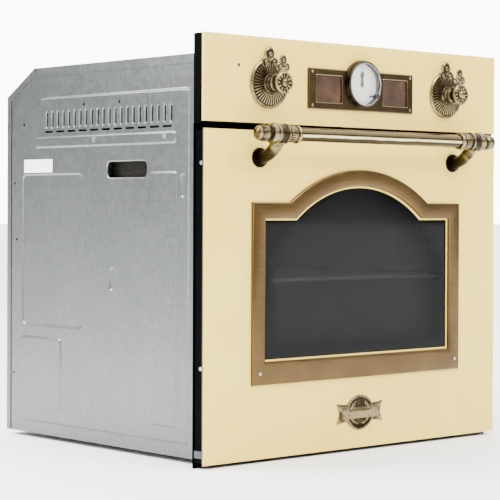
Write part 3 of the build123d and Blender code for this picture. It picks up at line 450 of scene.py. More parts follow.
def glass_wool():
    material, tree, shader, where = finish("glass_wool", Roughness=0.95, Specular_IOR_Level=0.1)
    fibres = noise(tree, where, 2.2, 6.0, stretch=(1.0, 0.2, 1.0))
    # Painted shade: the wool is coloured near black to stand for the shade inside the hand hole.
    tree.links.new(ramp(tree, fibres, (0.3, "1C1B18"), (0.7, "2E2C27")), shader.inputs["Base Color"])
    bump(tree, shader, fibres, 0.9)
    return material


def braided_seal():
    material, tree, shader, where = finish("braided_glass_rope", Roughness=0.85)
    weave = add(tree, "ShaderNodeTexWave", {"Vector": where, "Scale": per_mm(16), "Distortion": 1.5},
                bands_direction="DIAGONAL").outputs["Fac"]
    tree.links.new(ramp(tree, weave, (0.2, "2B2B2A"), (0.8, "5A5A57")), shader.inputs["Base Color"])
    bump(tree, shader, weave, 0.4)
    return material


# %% One of each finish
GALVANISED = galvanised_sheet()
IVORY = ivory_enamel("ivory_vitreous_enamel")
IVORY_SKIN = ivory_enamel("ivory_enamel_with_brown_edge", brown_from=FACE_Y + 0.9)
BLACK = black_enamel()
CAVITY = cavity_enamel()
BRONZE = antique_bronze("relieved_antique_bronze", "110D08", "2D2619", "4B412C", "857757", 0.46, 0.26)
# The brackets get painted shade on their last 34 mm towards the door.
BRACKET_BRONZE = antique_bronze("cast_bracket_bronze", "090605", "2A2317", "40371F", "7A6D4C", 0.46, 0.26, 34.0)
DARK_BRONZE = antique_bronze("patinated_bronze", "050403", "0D0A08", "17120E", "3A3228", 0.50, 0.36)
TUBE_BRONZE = rubbed_tube()
STRIP = brushed_bronze("brushed_bronze_strip", "45351F", "654F2E")
PLATE = brushed_bronze("dark_bronze_plate", "30261A", "483A24")
PANE = lacquered_brown()
TINTED = tinted_glass()
CLEAR = clear_glass("clear_toughened_glass", 0.16)
LENS = clear_glass("moulded_clear_lens", 0.05)
CHROME = chromed_wire()
NICKEL = nickel_wire()
STAINLESS = stainless_steel()
HEATER = heater_tube()
BLACK_PLASTIC = moulded("black_polyamide", "161617", "1F1F20", 0.42, 0.8)
CERAMIC = moulded("glazed_steatite", "DEDACE", "E9E6DC", 0.30, 2.0)
DIAL = moulded("white_dial_lacquer", "CFCEC4", "D8D7CC", 0.4, 1.2)
INK = moulded("grey_dial_ink", "7E8085", "8A8C92", 0.5, 0.6)
BLUED = moulded("blued_hand_steel", "0B0B10", "15161C", 0.4, 0.6)
LABEL = moulded("white_label_film", "EDEEEE", "F6F6F5", 0.45, 1.5)
NYLON = moulded("grey_nylon", "343737", "444848", 0.5, 0.8)
RED_LENS = moulded("dark_red_lens_acrylic", "25100B", "30150E", 0.2, 3.0)
WOOL = glass_wool()
SEAL = braided_seal()
print("finishes:", len(bpy.data.materials))

# %% [markdown]
# ## Finishes on the CAD parts
# The sheet-metal parts, the glass and the working parts keep their CAD shape, so they only need the right
# finish in their material slot.

# %% Give each CAD part its finish
FINISHES = {
    GALVANISED: ("side_panel_left", "side_panel_right", "top_cover", "base_pan", "rear_panel",
                 "blower_housing", "fan_motor", "blower_motor", "selector_switch", "thermostat_body"),
    IVORY: ("control_fascia",),
    IVORY_SKIN: ("door_skin",),
    BLACK: ("front_frame", "panel_carrier", "door_channels", "door_rails", "door_liner"),
    CAVITY: ("cavity_shell", "baking_tray", "fan_baffle"),
    BRONZE: ("selector_knob", "thermostat_knob", "handle_ends", "door_badge"),
    BRACKET_BRONZE: ("handle_brackets",),
    DARK_BRONZE: ("clock_ring",),
    TUBE_BRONZE: ("handle_bar",),
    STRIP: ("window_bezel",),
    PLATE: ("clock_plate",),
    PANE: ("clock_windows",),
    TINTED: ("window_glass",),
    CLEAR: ("inner_glass", "lamp_bulb", "lamp_glass"),
    LENS: ("clock_glass",),
    CHROME: ("side_racks",),
    NICKEL: ("wire_shelf",),
    STAINLESS: ("selector_shaft", "thermostat_shaft", "fan_wheel", "blower_drum", "hinge_arms",
                "hinge_cases", "hinge_pins", "housing_screws", "door_screws"),
    HEATER: ("grill_element", "bottom_element", "ring_element"),
    BLACK_PLASTIC: ("clock_setter", "clock_movement", "cable_gland"),
    BLUED: ("hour_hand", "minute_hand"),
    CERAMIC: ("lamp_holder", "terminal_block"),
    DIAL: ("clock_dial",),
    SEAL: ("door_gasket",),
    RED_LENS: ("indicator_lens",),
    WOOL: ("insulation",),
}
for material, names in FINISHES.items():
    for name in names:
        slots = NODES[name].data.materials
        slots.clear()
        slots.append(material)
unfinished = set(NODES) - {name for names in FINISHES.values() for name in names}
print("CAD parts without a finish:", sorted(unfinished))

# %% [markdown]
# ## Helpers for shaping
# Ornaments are drawn in millimetres, lying flat: x to the right, y up, z towards the viewer. One matrix
# then scales them to metres and stands them up on the front. Turned parts are half a section spun round
# an axis, because that is how a lathe makes them.


# %% Shaping helpers
TO_FRONT = Matrix.Rotation(pi / 2, 4, "X")
TO_SIDE = Matrix.Rotation(pi / 2, 4, "Y")


def turned(profile, steps=64):
    """A turned shape about z from a section of (radius, height) points in millimetres."""
    bm = bmesh.new()
    points = [bm.verts.new((radius, 0, height)) for radius, height in profile]
    edges = [bm.edges.new(pair) for pair in zip(points, points[1:])]
    bmesh.ops.spin(bm, geom=points + edges, cent=(0, 0, 0), axis=(0, 0, 1), angle=2 * pi, steps=steps,
                   use_merge=True)
    bmesh.ops.remove_doubles(bm, verts=bm.verts, dist=0.001)
    return bm


def ball(radii, place, divisions=(16, 10)):
    """An ellipsoid with these radii, for a lobe, a bead or a leaf."""
    bm = bmesh.new()
    bmesh.ops.create_uvsphere(bm, u_segments=divisions[0], v_segments=divisions[1], radius=1.0)
    bmesh.ops.scale(bm, vec=radii, verts=bm.verts)
    bmesh.ops.translate(bm, vec=place, verts=bm.verts)
    return bm


def slab(points, thickness, edge=0.0, segments=2):
    """A flat outline in x and y made a plate from z = 0, with its front edge rounded."""
    bm = bmesh.new()
    face = bm.faces.new([bm.verts.new((x, y, 0)) for x, y in points])
    grown = bmesh.ops.extrude_face_region(bm, geom=[face])["geom"]
    front = [item for item in grown if isinstance(item, bmesh.types.BMVert)]
    bmesh.ops.translate(bm, vec=(0, 0, thickness), verts=front)
    bmesh.ops.recalc_face_normals(bm, faces=bm.faces)
    if edge:
        rim = [e for e in bm.edges if all(abs(v.co.z - thickness) < 1e-6 for v in e.verts)]
        bmesh.ops.bevel(bm, geom=rim, offset=edge, segments=segments, profile=0.5, affect="EDGES", material=-1)
    return bm


def moved(bm, matrix):
    bmesh.ops.transform(bm, matrix=matrix, verts=bm.verts)
    return bm


def shift(x, y, z):
    return Matrix.Translation((x, y, z))


def joined(parts):
    """One bmesh from several, which are freed."""
    whole = bmesh.new()
    for part in parts:
        carrier = bpy.data.meshes.new("carrier")
        part.to_mesh(carrier)
        part.free()
        whole.from_mesh(carrier)
        bpy.data.meshes.remove(carrier)
    return whole


def piece(name, bm, material, body, stand=TO_FRONT, at=(0, 0, 0), replaces=(), crease=38):
    """Stands a shape up at a place in millimetres, makes it an object and ties it to a body."""
    place = Matrix.Translation(Vector(at) * MM) @ stand @ Matrix.Scale(MM, 4)
    bmesh.ops.transform(bm, matrix=place, verts=bm.verts)
    bmesh.ops.remove_doubles(bm, verts=bm.verts, dist=1e-7)
    bmesh.ops.recalc_face_normals(bm, faces=bm.faces)
    for face in bm.faces:
        face.smooth = True
    for edge in bm.edges:
        edge.smooth = edge.calc_face_angle(0.0) < radians(crease)
    mesh = bpy.data.meshes.new(name)
    bm.to_mesh(mesh)
    bm.free()
    mesh.materials.append(material)
    made = bpy.data.objects.new(name, mesh)
    bpy.context.scene.collection.objects.link(made)
    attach(made, body)
    if replaces:
        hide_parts(*replaces)
    print(name, len(mesh.polygons), "faces")
    return made


# %% [markdown]
# ## Pressed side panels
# Each side is one galvanised sheet stiffened by pressings: a raised field, flat pads and a strip on it, a
# shallow recess, dimples, a row of louvres and a hand hole with a rolled lip. A pressing is a rounded
# outline extruded through small insets, a soft step in section, and a louvre's step ends in an open slot.
# The flats in between are filled, and the whole sheet is then given its thickness.

# %% Outlines, steps and fills
CORNER_STEPS = 5


def outline(points, corner, inset):
    """A convex outline with round corners, moved inwards by inset, always with as many points."""
    made = []
    for k, here in enumerate(points):
        here, before, after = Vector(here), Vector(points[k - 1]), Vector(points[(k + 1) % len(points)])
        back, ahead = (before - here).normalized(), (after - here).normalized()
        half = back.angle(ahead) / 2
        centre = here + (back + ahead).normalized() * corner / sin(half)
        start = atan2(back.x, -back.y)
        sweep = pi - 2 * half
        for step in range(CORNER_STEPS):
            angle = start + sweep * step / (CORNER_STEPS - 1)
            made.append(centre + Vector((cos(angle), sin(angle))) * max(corner - inset, 0.05))
    return made


def box_points(x0, x1, y0, y1):
    return [(x0, y0), (x1, y0), (x1, y1), (x0, y1)]


def loop_of(bm, points, height):
    """A closed loop of edges through these points at one height."""
    ring = [bm.verts.new((x, y, height)) for x, y in points]
    return [bm.edges.new((a, b)) for a, b in zip(ring, ring[1:] + ring[:1])]


def stepped(sheets, points, corner, section):
    """A step through (inset, height) loops, each extruded from the last. Returns the first and last outline."""
    bm = bmesh.new()
    edges = loop_of(bm, outline(points, corner, section[0][0]), section[0][1])
    ring = list(bm.verts)
    for inset, height in section[1:]:
        grown = bmesh.ops.extrude_edge_only(bm, edges=edges)["geom"]
        edges = [item for item in grown if isinstance(item, bmesh.types.BMEdge)
                 and all(not vert in ring for vert in item.verts)]
        ring = [next(edge.other_vert(old) for edge in old.link_edges if edge.other_vert(old) in grown) for old in ring]
        for vert, (x, y) in zip(ring, outline(points, corner, inset)):
            vert.co = (x, y, height)
    sheets.append(bm)
    return outline(points, corner, section[0][0]), outline(points, corner, section[-1][0])


def flat(sheets, level, *outlines):
    """Fills the flat inside the first outline, round the others."""
    bm = bmesh.new()
    edges = [edge for points in outlines for edge in loop_of(bm, points, level)]
    bmesh.ops.triangle_fill(bm, edges=edges, use_beauty=True, normal=(0, 0, 1))
    sheets.append(bm)


def soft_step(level, rise, width=2.2, strip=0.8):
    """A section that leaves a flat at one level and rises smoothly to the next."""
    shape = ((0.0, 0.0), (0.17, 0.10), (0.5, 0.5), (0.83, 0.90), (1.0, 1.0))
    steps = [(at * width, level + rise * up) for at, up in shape]
    return [(-strip, level)] + steps + [(width + strip, level + rise)]


# %% Side panels
BORDER_OUT, FIELD_OUT, PAD_OUT = 275.4, 278.0, 279.6
PANEL_EDGE = [(-0.3, 1.2), (481, 1.2), (481, 517), (408, 559), (-0.3, 559)]
FIELD_EDGE = [(33, 18), (446, 18), (446, 486), (391, 514), (33, 514)]
PADS = (box_points(334, 438, 40, 149), box_points(58, 122, 40, 398), box_points(60, 404, 437, 454))
DIMPLES = (box_points(201.5, 214.5, 226, 260), box_points(39.8, 52.2, 361, 395))
RECESS_EDGE = box_points(281, 438.5, 166, 398)
HAND_HOLE = box_points(126, 223, 389, 415)
LOUVRES = [73 + 14.3 * k for k in range(22)]
FIELD_HOLES = ((278, 500, 2.2), (191, 500, 2.2), (434, 474, 2.2))
BORDER_HOLES = ((463, 384, 2.0), (457, 297, 2.0), (464, 90, 2.0))


def bore(x, y, radius):
    return [(x + radius * cos(a), y + radius * sin(a)) for a in [2 * pi * k / 20 for k in range(20)]]


def pressed_panel():
    """One side: x is the distance from the cabinet's face, y is up and z is outwards."""
    sheets = []
    rim, field = stepped(sheets, FIELD_EDGE, 9.0, soft_step(BORDER_OUT, FIELD_OUT - BORDER_OUT, 3.0))
    pressings = [(points, 6.0, soft_step(FIELD_OUT, PAD_OUT - FIELD_OUT)) for points in PADS]
    pressings.append((RECESS_EDGE, 10.0, soft_step(FIELD_OUT, -1.6)))
    pressings += [(points, 5.5, soft_step(FIELD_OUT, -1.6, 2.5, 0.5)) for points in DIMPLES]
    on_field = []
    for points, corner, section in pressings:
        outer, inner = stepped(sheets, points, corner, section)
        flat(sheets, section[-1][1], inner)
        on_field.append(outer)
    for y in LOUVRES:
        outer, _ = stepped(sheets, box_points(y - 3.5, y + 3.5, 466.5, 493), 3.2, soft_step(FIELD_OUT, -1.6, 1.8, 0.3))
        on_field.append(outer)
    rolled = [(-0.8, 0.0), (0, 0.0), (0.8, -0.3), (1.6, -1.2), (2.0, -2.6), (2.0, -8.0)]
    outer, inner = stepped(sheets, HAND_HOLE, 9.0, [(inset, FIELD_OUT + rise) for inset, rise in rolled])
    on_field.append(outer)
    on_field += [outline(box_points(y - 2, y + 18, 459.8, 462.8), 1.4, 0) for y in LOUVRES[::2]]
    on_field += [bore(*hole) for hole in FIELD_HOLES]
    flat(sheets, FIELD_OUT, field, *on_field)
    flat(sheets, BORDER_OUT, PANEL_EDGE, rim, *[bore(*hole) for hole in BORDER_HOLES])
    bm = joined(sheets)
    bmesh.ops.remove_doubles(bm, verts=bm.verts, dist=0.001)
    bmesh.ops.recalc_face_normals(bm, faces=bm.faces)
    if sum(face.normal.z * face.calc_area() for face in bm.faces) < 0:
        bmesh.ops.reverse_faces(bm, faces=bm.faces)
    bmesh.ops.solidify(bm, geom=bm.faces[:], thickness=1.0)
    heights = [vert.co.z for vert in bm.verts]
    print("panel from", round(min(heights), 2), "to", round(max(heights), 2))
    return bm


SIDE_WALL = Matrix(((0, 0, 1, 0), (1, 0, 0, 0), (0, 1, 0, 0), (0, 0, 0, 1)))
for name, side in (("left", -1), ("right", 1)):
    piece(f"pressed_side_{name}", pressed_panel(), GALVANISED, "housing",
          stand=Matrix.Scale(side, 4, (1, 0, 0)) @ SIDE_WALL, replaces=(f"side_panel_{name}",))

# %% [markdown]
# ## Window frame
# The bronze frame follows the window's outline, a rectangle with a low arch. Its section is a flat outer
# step, a gentle swell and a small inner fillet, swept from the outer outline to the inner one.


# %% Window frame
OUTER = (212.0, 101.0, 355.0, 141.0, 403.0)
INNER = (188.5, 133.0, 332.5, 129.0, 379.5)
ARCH_STEPS = 48


def arched(half_width, low, shoulder, arch_half, peak):
    """The outline as points: half the width, bottom, shoulder, half the arch's width, top of the arch."""
    rise = peak - shoulder
    radius = (arch_half ** 2 + rise ** 2) / (2 * rise)
    reach = atan2(arch_half, radius - rise)
    arch = [(radius * sin(a), peak - radius + radius * cos(a))
            for a in [reach - 2 * reach * k / ARCH_STEPS for k in range(ARCH_STEPS + 1)]]
    return [(-half_width, low), (half_width, low), (half_width, shoulder)] + arch + [(-half_width, shoulder)]


def window_frame():
    bm = bmesh.new()
    section = [(0.0, 0.0), (0.0, 3.0), (0.02, 3.7), (0.06, 4.1), (0.10, 4.3), (0.30, 4.75), (0.55, 4.9),
               (0.80, 4.7), (0.92, 4.4), (0.96, 4.0), (0.99, 3.2), (1.0, 2.4), (1.0, 0.0)]
    loops = []
    for t, height in section:
        size = [a + (b - a) * t for a, b in zip(OUTER, INNER)]
        loops.append(loop_of(bm, arched(*size), height))
    for a, b in zip(loops, loops[1:] + loops[:1]):
        bmesh.ops.bridge_loops(bm, edges=a + b)
    return bm


piece("window_frame", window_frame(), STRIP, "door", at=(0, FACE_Y, 0), replaces=("window_bezel",))

# %% [markdown]
# ## Knobs
# Each knob is one heavy casting: a sunburst skirt with a beaded rim, a crest that points to the setting,
# a turned stem and a dished button with a smaller crest. The skirt's rays are made on the spun mesh by
# insetting every second face of one ring and lifting it, which is what the carved pattern looks like.


# %% Knob casting
RAYS = 40


def crest(height, width, thickness):
    """A trefoil: three domed lobes on a waisted stem, as tall as height above its foot."""
    lobe = width * 0.27
    top = height - lobe * 1.25
    foot = slab([(-width * 0.30, 0), (width * 0.30, 0), (width * 0.16, height * 0.45), (lobe * 0.8, top),
                 (-lobe * 0.8, top), (-width * 0.16, height * 0.45)], thickness, thickness * 0.4)
    lobes = [ball((lobe, lobe * 1.25, thickness), (0, top, thickness * 0.45))]
    for side in (-1, 1):
        lobes.append(ball((lobe, lobe, thickness), (side * (width / 2 - lobe), top - lobe * 1.35, thickness * 0.45)))
        curl = ball((lobe * 0.55, lobe * 0.55, thickness * 0.8), (side * width * 0.30, height * 0.22, thickness * 0.4))
        lobes.append(curl)
    eyes = [ball((lobe * 0.4, lobe * 0.4, thickness * 0.5), (x, y, thickness * 1.25), (10, 6))
            for x, y in ((0, top), (width / 2 - lobe, top - lobe * 1.35), (lobe - width / 2, top - lobe * 1.35))]
    return joined([foot] + lobes + eyes)


def knob_casting():
    r = KNOB_SKIRT_R
    skirt = turned([(3.1, 0), (r - 1.5, 0), (r - 0.2, 0.8), (r - 0.2, 2.0), (r - 1.6, 3.0), (r - 4.0, 3.1),
                    (r - 5.0, 2.3), (14.5, 5.4), (13.4, 6.9), (12.6, 7.2), (11.8, 6.9), (11.2, 9.0), (9.6, 10.6),
                    (8.6, 12.5), (8.6, 14.0), (11.6, 15.2), (12.8, 16.6), (12.8, 18.0), (11.6, 19.2),
                    (9.2, 20.6), (8.8, 22.5), (10.0, 25.0), (13.2, 27.2), (15.2, 28.6), (15.8, 30.0),
                    (15.8, 32.2), (14.8, 33.4), (13.6, 33.9), (12.2, 33.2), (9.6, 32.6), (7.2, 33.2),
                    (6.4, 34.6), (5.2, 36.4), (3.2, 37.4), (0, 37.7)], 2 * RAYS)
    rays = []
    for face in skirt.faces:
        middle = face.calc_center_median()
        reach = hypot(middle.x, middle.y)
        sector = int((atan2(middle.y, middle.x) % (2 * pi)) / (2 * pi) * RAYS * 2)
        if 14.5 < reach < r - 5.0 and 2.0 < middle.z < 5.6 and sector % 2 == 0:
            rays.append(face)
    bmesh.ops.recalc_face_normals(skirt, faces=skirt.faces)
    bmesh.ops.inset_individual(skirt, faces=rays, thickness=0.35, depth=0.9)
    beads = [ball((1.15, 1.15, 0.9), (cos(a) * (r - 2.6), sin(a) * (r - 2.6), 3.0), (8, 5))
             for a in [2 * pi * k / RAYS for k in range(RAYS)]]
    back_crest = moved(crest(26.5, 32.0, 2.4), shift(0, 25.5, 0.6))
    front_crest = moved(crest(26.0, 25.0, 2.4), shift(0, 13.6, 28.0))
    petals = [moved(ball((1.5, 4.2, 1.0), (0, 10.2, 32.8), (8, 6)), Matrix.Rotation(2 * pi * k / 12, 4, "Z"))
              for k in range(12)]
    return joined([skirt, back_crest, front_crest] + beads + petals)


for name, side in (("selector", -1), ("thermostat", 1)):
    piece(f"{name}_knob_casting", knob_casting(), BRONZE, name,
          at=(side * KNOB_X, KNOB_BACK, KNOB_Z), replaces=(f"{name}_knob",))

# %% [markdown]
# ## Handle
# The bar is a plain drawn tube. What makes it look old are its ends: a long engraved ferrule, a collar
# that the bracket grips, and a turned finial. They are one turned piece on each side, so one section is
# drawn from the middle of the door outwards and spun round the bar.


# %% Handle ends
FERRULE_FROM = 165.0


def handle_end():
    start = FERRULE_FROM
    section = [(BAR_R + 0.05, start + 1.0), (BAR_R + 1.4, start), (BAR_R + 2.6, start + 0.8), (12.8, start + 2.4),
               (13.1, start + 4.0), (12.6, start + 5.6), (11.2, start + 6.6), (11.0, start + 8.0),
               (11.6, start + 9.0), (11.6, start + 20.0), (11.0, start + 21.0), (11.6, start + 22.0),
               (11.6, start + 40.5), (12.4, start + 41.5), (13.6, start + 43.0), (14.2, start + 45.5),
               (14.2, start + 48.0), (13.4, start + 50.0), (11.4, start + 51.6), (8.6, start + 52.6),
               (8.0, start + 54.4), (8.8, start + 56.2), (10.6, start + 58.0), (11.3, start + 61.0),
               (11.3, start + 65.0), (10.8, start + 69.0), (9.6, start + 71.6), (10.0, start + 72.8),
               (9.0, start + 74.4), (6.6, start + 75.8), (3.6, start + 76.7), (0, start + 77.0)]
    bm = turned(section, 48)
    bmesh.ops.recalc_face_normals(bm, faces=bm.faces)
    engraved = []
    for face in bm.faces:
        middle = face.calc_center_median()
        sector = int((atan2(middle.y, middle.x) % (2 * pi)) / (2 * pi) * 48)
        if start + 9.5 < middle.z < start + 20 and sector % 2 == 0:
            engraved.append(face)
        if start + 61 < middle.z < start + 65 and sector % 2 == 0:
            engraved.append(face)
    bmesh.ops.inset_individual(bm, faces=engraved, thickness=0.25, depth=0.5)
    studs = [moved(ball((0.9, 1.5, 1.5), (11.7, 0, start + 31.0), (8, 6)), Matrix.Rotation(2 * pi * k / 12, 4, "Z"))
             for k in range(12)]
    return joined([bm] + studs)


for name, side in (("left", -1), ("right", 1)):
    stand = Matrix.Scale(side, 4, (1, 0, 0)) @ TO_SIDE
    end = piece(f"handle_end_{name}", handle_end(), BRONZE, "door", stand=stand,
                at=(0, BAR_Y, BAR_Z))
    if side > 0:
        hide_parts("handle_ends")

# %% [markdown]
# A swan-neck bracket carries each end. Its neck leaves the door square, swells, bends upwards and closes
# round the collar. A row of rings along that path, each a little larger or smaller and tilted along the
# bend, bridged one to the next, gives the cast form.


# %% Handle brackets
NECK_SIDES = 24


def ring_loop(bm, centre, direction, radius, squash=1.0):
    """A ring of edges round a centre, facing along a direction in the y-z plane of the bracket."""
    aim = Vector(direction).to_track_quat("Z", "X").to_matrix().to_4x4()
    made = bmesh.ops.create_circle(bm, segments=NECK_SIDES, radius=radius, matrix=Matrix.Translation(centre) @ aim)
    if squash != 1.0:
        bmesh.ops.scale(bm, vec=(squash, 1, 1), space=Matrix.Translation(-Vector(centre)), verts=made["verts"])
    return list({edge for vert in made["verts"] for edge in vert.link_edges})


def bracket():
    """In the flat drawing x is across, y is up and z is out from the door."""
    reach, rise = FACE_Y - BAR_Y, BAR_Z - BRACKET_Z
    stations = [((0, 0, 5.0), (0, 0, 1), 10.6, 1.0), ((0, 0.4, 9.0), (0, 0.10, 1), 9.2, 1.0),
                ((0, 2.0, 15.0), (0, 0.32, 1), 8.4, 1.0), ((0, 5.0, 21.5), (0, 0.55, 1), 8.6, 0.98),
                ((0, 9.6, 28.0), (0, 0.85, 0.9), 9.0, 0.95), ((0, 15.0, 33.6), (0, 1, 0.8), 9.4, 0.92),
                ((0, 20.5, 38.0), (0, 1, 0.6), 9.6, 0.92), ((0, rise - 7.0, reach - 2.0), (0, 1, 0.35), 9.0, 0.95)]
    neck = bmesh.new()
    loops = [ring_loop(neck, *station) for station in stations]
    for a, b in zip(loops, loops[1:]):
        bmesh.ops.bridge_loops(neck, edges=a + b)
    bmesh.ops.holes_fill(neck, edges=[e for e in neck.edges if e.is_boundary])
    bmesh.ops.recalc_face_normals(neck, faces=neck.faces)
    rosette = turned([(0, 0), (ROSETTE_R - 0.4, 0), (ROSETTE_R, 0.8), (ROSETTE_R, 2.2), (ROSETTE_R - 1.0, 3.2),
                      (12.2, 3.4), (12.0, 4.4), (12.6, 5.0), (12.2, 6.0), (10.6, 6.4), (0, 6.4)], 48)
    grip = turned([(11.9, -9.5), (13.2, -9.5), (14.1, -8.6), (14.1, -7.0), (13.3, -6.0), (13.0, -4.5),
                   (13.0, 4.5), (13.3, 6.0), (14.1, 7.0), (14.1, 8.6), (13.2, 9.5), (11.9, 9.5), (11.9, -9.5)], 48)
    moved(grip, shift(0, rise, reach) @ TO_SIDE)
    leaf = ball((6.0, 2.2, 9.0), (0, rise - 13.5, reach - 1.5), (16, 10))
    return joined([neck, rosette, grip, leaf])


for name, side in (("left", -1), ("right", 1)):
    arm = piece(f"handle_bracket_{name}", bracket(), BRACKET_BRONZE, "door",
                at=(side * BRACKET_X, FACE_Y, BRACKET_Z))
    if side > 0:
        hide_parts("handle_brackets")

# %% [markdown]
# ## Clock
# A white dial behind a domed glass, in a turned bronze ring. The minute marks are sixty small bars, and
# the hours carry plain numerals, cut from the default font and made a mesh.


# %% Dial, hands and setting knob
dial_low, dial_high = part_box("clock_dial")
DIAL_R = (dial_high.x - dial_low.x) / 2 / MM
DIAL_FRONT = dial_low.y / MM


def dial_marks():
    marks = []
    for k in range(60):
        long = k % 5 == 0
        size = (0.5, 1.5) if long else (0.22, 0.8)
        bar = slab([(-size[0], -size[1]), (size[0], -size[1]), (size[0], size[1]), (-size[0], size[1])], 0.12)
        moved(bar, Matrix.Rotation(-2 * pi * k / 60, 4, "Z") @ shift(0, DIAL_R - 3.0 - size[1], 0))
        marks.append(bar)
    for hour in range(1, 13):
        text = bpy.data.curves.new("numeral", "FONT")
        text.body = str(hour)
        text.size = 5.2
        text.align_x, text.align_y = "CENTER", "CENTER"
        text.extrude = 0.06
        text.resolution_u = 3
        holder = bpy.data.objects.new("numeral", text)
        shape = bpy.data.meshes.new_from_object(holder)
        numeral = bmesh.new()
        numeral.from_mesh(shape)
        angle = pi / 2 - 2 * pi * hour / 12
        moved(numeral, shift(cos(angle) * (DIAL_R - 9.6), sin(angle) * (DIAL_R - 9.6), 0.06))
        marks.append(numeral)
        bpy.data.objects.remove(holder)
        bpy.data.curves.remove(text)
        bpy.data.meshes.remove(shape)
    return joined(marks)


piece("dial_marks", dial_marks(), INK, "housing", at=(0, DIAL_FRONT - 0.02, CLOCK_Z))


def hand(length, width, tail, boss):
    """A spade hand: a slim blade that swells and ends in a point, on a round boss."""
    blade = slab([(-width * 0.35, -tail), (width * 0.35, -tail), (width * 0.5, 0), (width * 0.42, length * 0.62),
                  (width * 1.1, length * 0.74), (0, length), (-width * 1.1, length * 0.74),
                  (-width * 0.42, length * 0.62), (-width * 0.5, 0)], 0.42, 0.08, 1)
    cap = turned([(0, -0.3), (boss, -0.3), (boss, 0.6), (boss * 0.7, 0.95), (0, 1.05)], 24)
    return joined([blade, cap])


for name, node, length, width, boss in (("hour", "hour_hand", 16.5, 4.0, 3.2), ("minute", "minute_hand", 20.3, 2.8, 2.3)):
    front = FACE_Y - (3.0 if name == "hour" else 4.2)
    blued = hand(length, width, 4.5, boss)
    piece(f"{name}_hand_blade", blued, BLUED, f"{name}_pointer", at=(0, front, CLOCK_Z),
          replaces=(node,))

setter_low, setter_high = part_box("clock_setter")
SETTER = ((setter_low.x + setter_high.x) / 2 / MM, (setter_low.z + setter_high.z) / 2 / MM)
SETTER_R = (setter_high.x - setter_low.x) / 2 / MM
knurled = turned([(0, 0), (SETTER_R - 0.8, 0), (SETTER_R - 0.3, 0.5), (SETTER_R - 0.3, 5.4), (SETTER_R - 0.9, 6.0),
                  (0, 6.0)], 36)
grooves = [f for f in knurled.faces if 0.6 < f.calc_center_median().z < 5.3]
bmesh.ops.recalc_face_normals(knurled, faces=knurled.faces)
bmesh.ops.inset_individual(knurled, faces=grooves, thickness=0.12, depth=0.25)
stem = turned([(0, -19.0), (1.5, -19.0), (1.5, 0.0), (0, 0.0)], 20)
piece("clock_setting_knob", joined([knurled, stem]), BLACK_PLASTIC, "clock_setting_knob",
      at=(SETTER[0], setter_low.y / MM + 6.0, SETTER[1]), replaces=("clock_setter",))

# %% [markdown]
# The ring is turned bronze with two beads and a bright inner slope, so its section has more steps than the
# CAD one. The glass is a shallow dome.

# %% Ring, glass and plate screws
INNER_R = DIAL_R + 0.15
ring = turned([(INNER_R, 0), (CLOCK_R - 0.2, 0), (CLOCK_R, 0.6), (CLOCK_R, 6.4), (CLOCK_R - 0.5, 7.4),
               (CLOCK_R - 1.3, 7.8), (CLOCK_R - 1.5, 8.8), (CLOCK_R - 1.0, 9.6), (CLOCK_R - 1.2, 10.8),
               (CLOCK_R - 2.2, 11.8), (CLOCK_R - 3.3, 12.0), (CLOCK_R - 4.3, 11.2), (INNER_R, 10.0), (INNER_R, 0)], 96)
piece("clock_ring_turned", ring, DARK_BRONZE, "housing", at=(0, FACE_Y, CLOCK_Z), replaces=("clock_ring",))
slope = turned([(INNER_R - 0.1, 9.9), (INNER_R + 0.7, 10.6), (INNER_R + 1.1, 11.6), (INNER_R + 0.6, 11.7),
                (INNER_R - 0.1, 10.4), (INNER_R - 0.1, 9.9)], 96)
piece("clock_ring_inlay", slope, STAINLESS, "housing", at=(0, FACE_Y, CLOCK_Z))
dome = turned([(0, 10.9), (8, 10.75), (16, 10.3), (23, 9.7), (DIAL_R, 8.8), (DIAL_R, 8.0), (23, 8.9), (16, 9.5),
               (8, 9.95), (0, 10.1)], 64)
piece("clock_dome", dome, LENS, "housing", at=(0, FACE_Y, CLOCK_Z), replaces=("clock_glass",))

plate_low, plate_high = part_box("clock_plate")
PLATE_FRONT = plate_low.y / MM
corners = [(x, z) for x in (plate_low.x / MM + 6.5, plate_high.x / MM - 6.5)
           for z in (plate_low.z / MM + 5.0, plate_high.z / MM - 5.0)]
heads = []
for x, z in corners:
    head = turned([(0, 0), (2.0, 0), (2.1, 0.3), (1.6, 0.9), (0.8, 1.15), (0, 1.2)], 24)
    heads.append(moved(head, shift(x, z, 0)))
piece("clock_plate_screws", joined(heads), BRONZE, "housing", at=(0, PLATE_FRONT, 0))

pane_low, pane_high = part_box("clock_windows")
PANE_IN, PANE_OUT = 42.0, pane_high.x / MM
trims = bmesh.new()
for side in (-1, 1):
    near, far = sorted((side * PANE_IN, side * PANE_OUT))
    rectangle = box_points(near, far, pane_low.z / MM, pane_high.z / MM)
    trim_loops = [loop_of(trims, outline(rectangle, 1.5, inset), height)
                  for inset, height in ((-0.7, 0.0), (-0.6, 0.5), (-0.2, 0.7), (0.2, 0.5), (0.3, 0.0))]
    for a, b in zip(trim_loops, trim_loops[1:] + trim_loops[:1]):
        bmesh.ops.bridge_loops(trims, edges=a + b)
piece("pane_trims", trims, BRONZE, "housing", at=(0, PLATE_FRONT, 0))

# %% [markdown]
# ## Cartouche
# A cast badge without any lettering: an oval boss with a rope rim and a spray of leaves, over a short
# banner whose ends flare like a ribbon's.

# %% Cartouche
badge_low, badge_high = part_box("door_badge")
BADGE_W = (badge_high.x - badge_low.x) / 2 / MM
BADGE_H = (badge_high.z - badge_low.z) / 2 / MM
BADGE_Z = (badge_high.z + badge_low.z) / 2 / MM
BOSS_W = 28.5


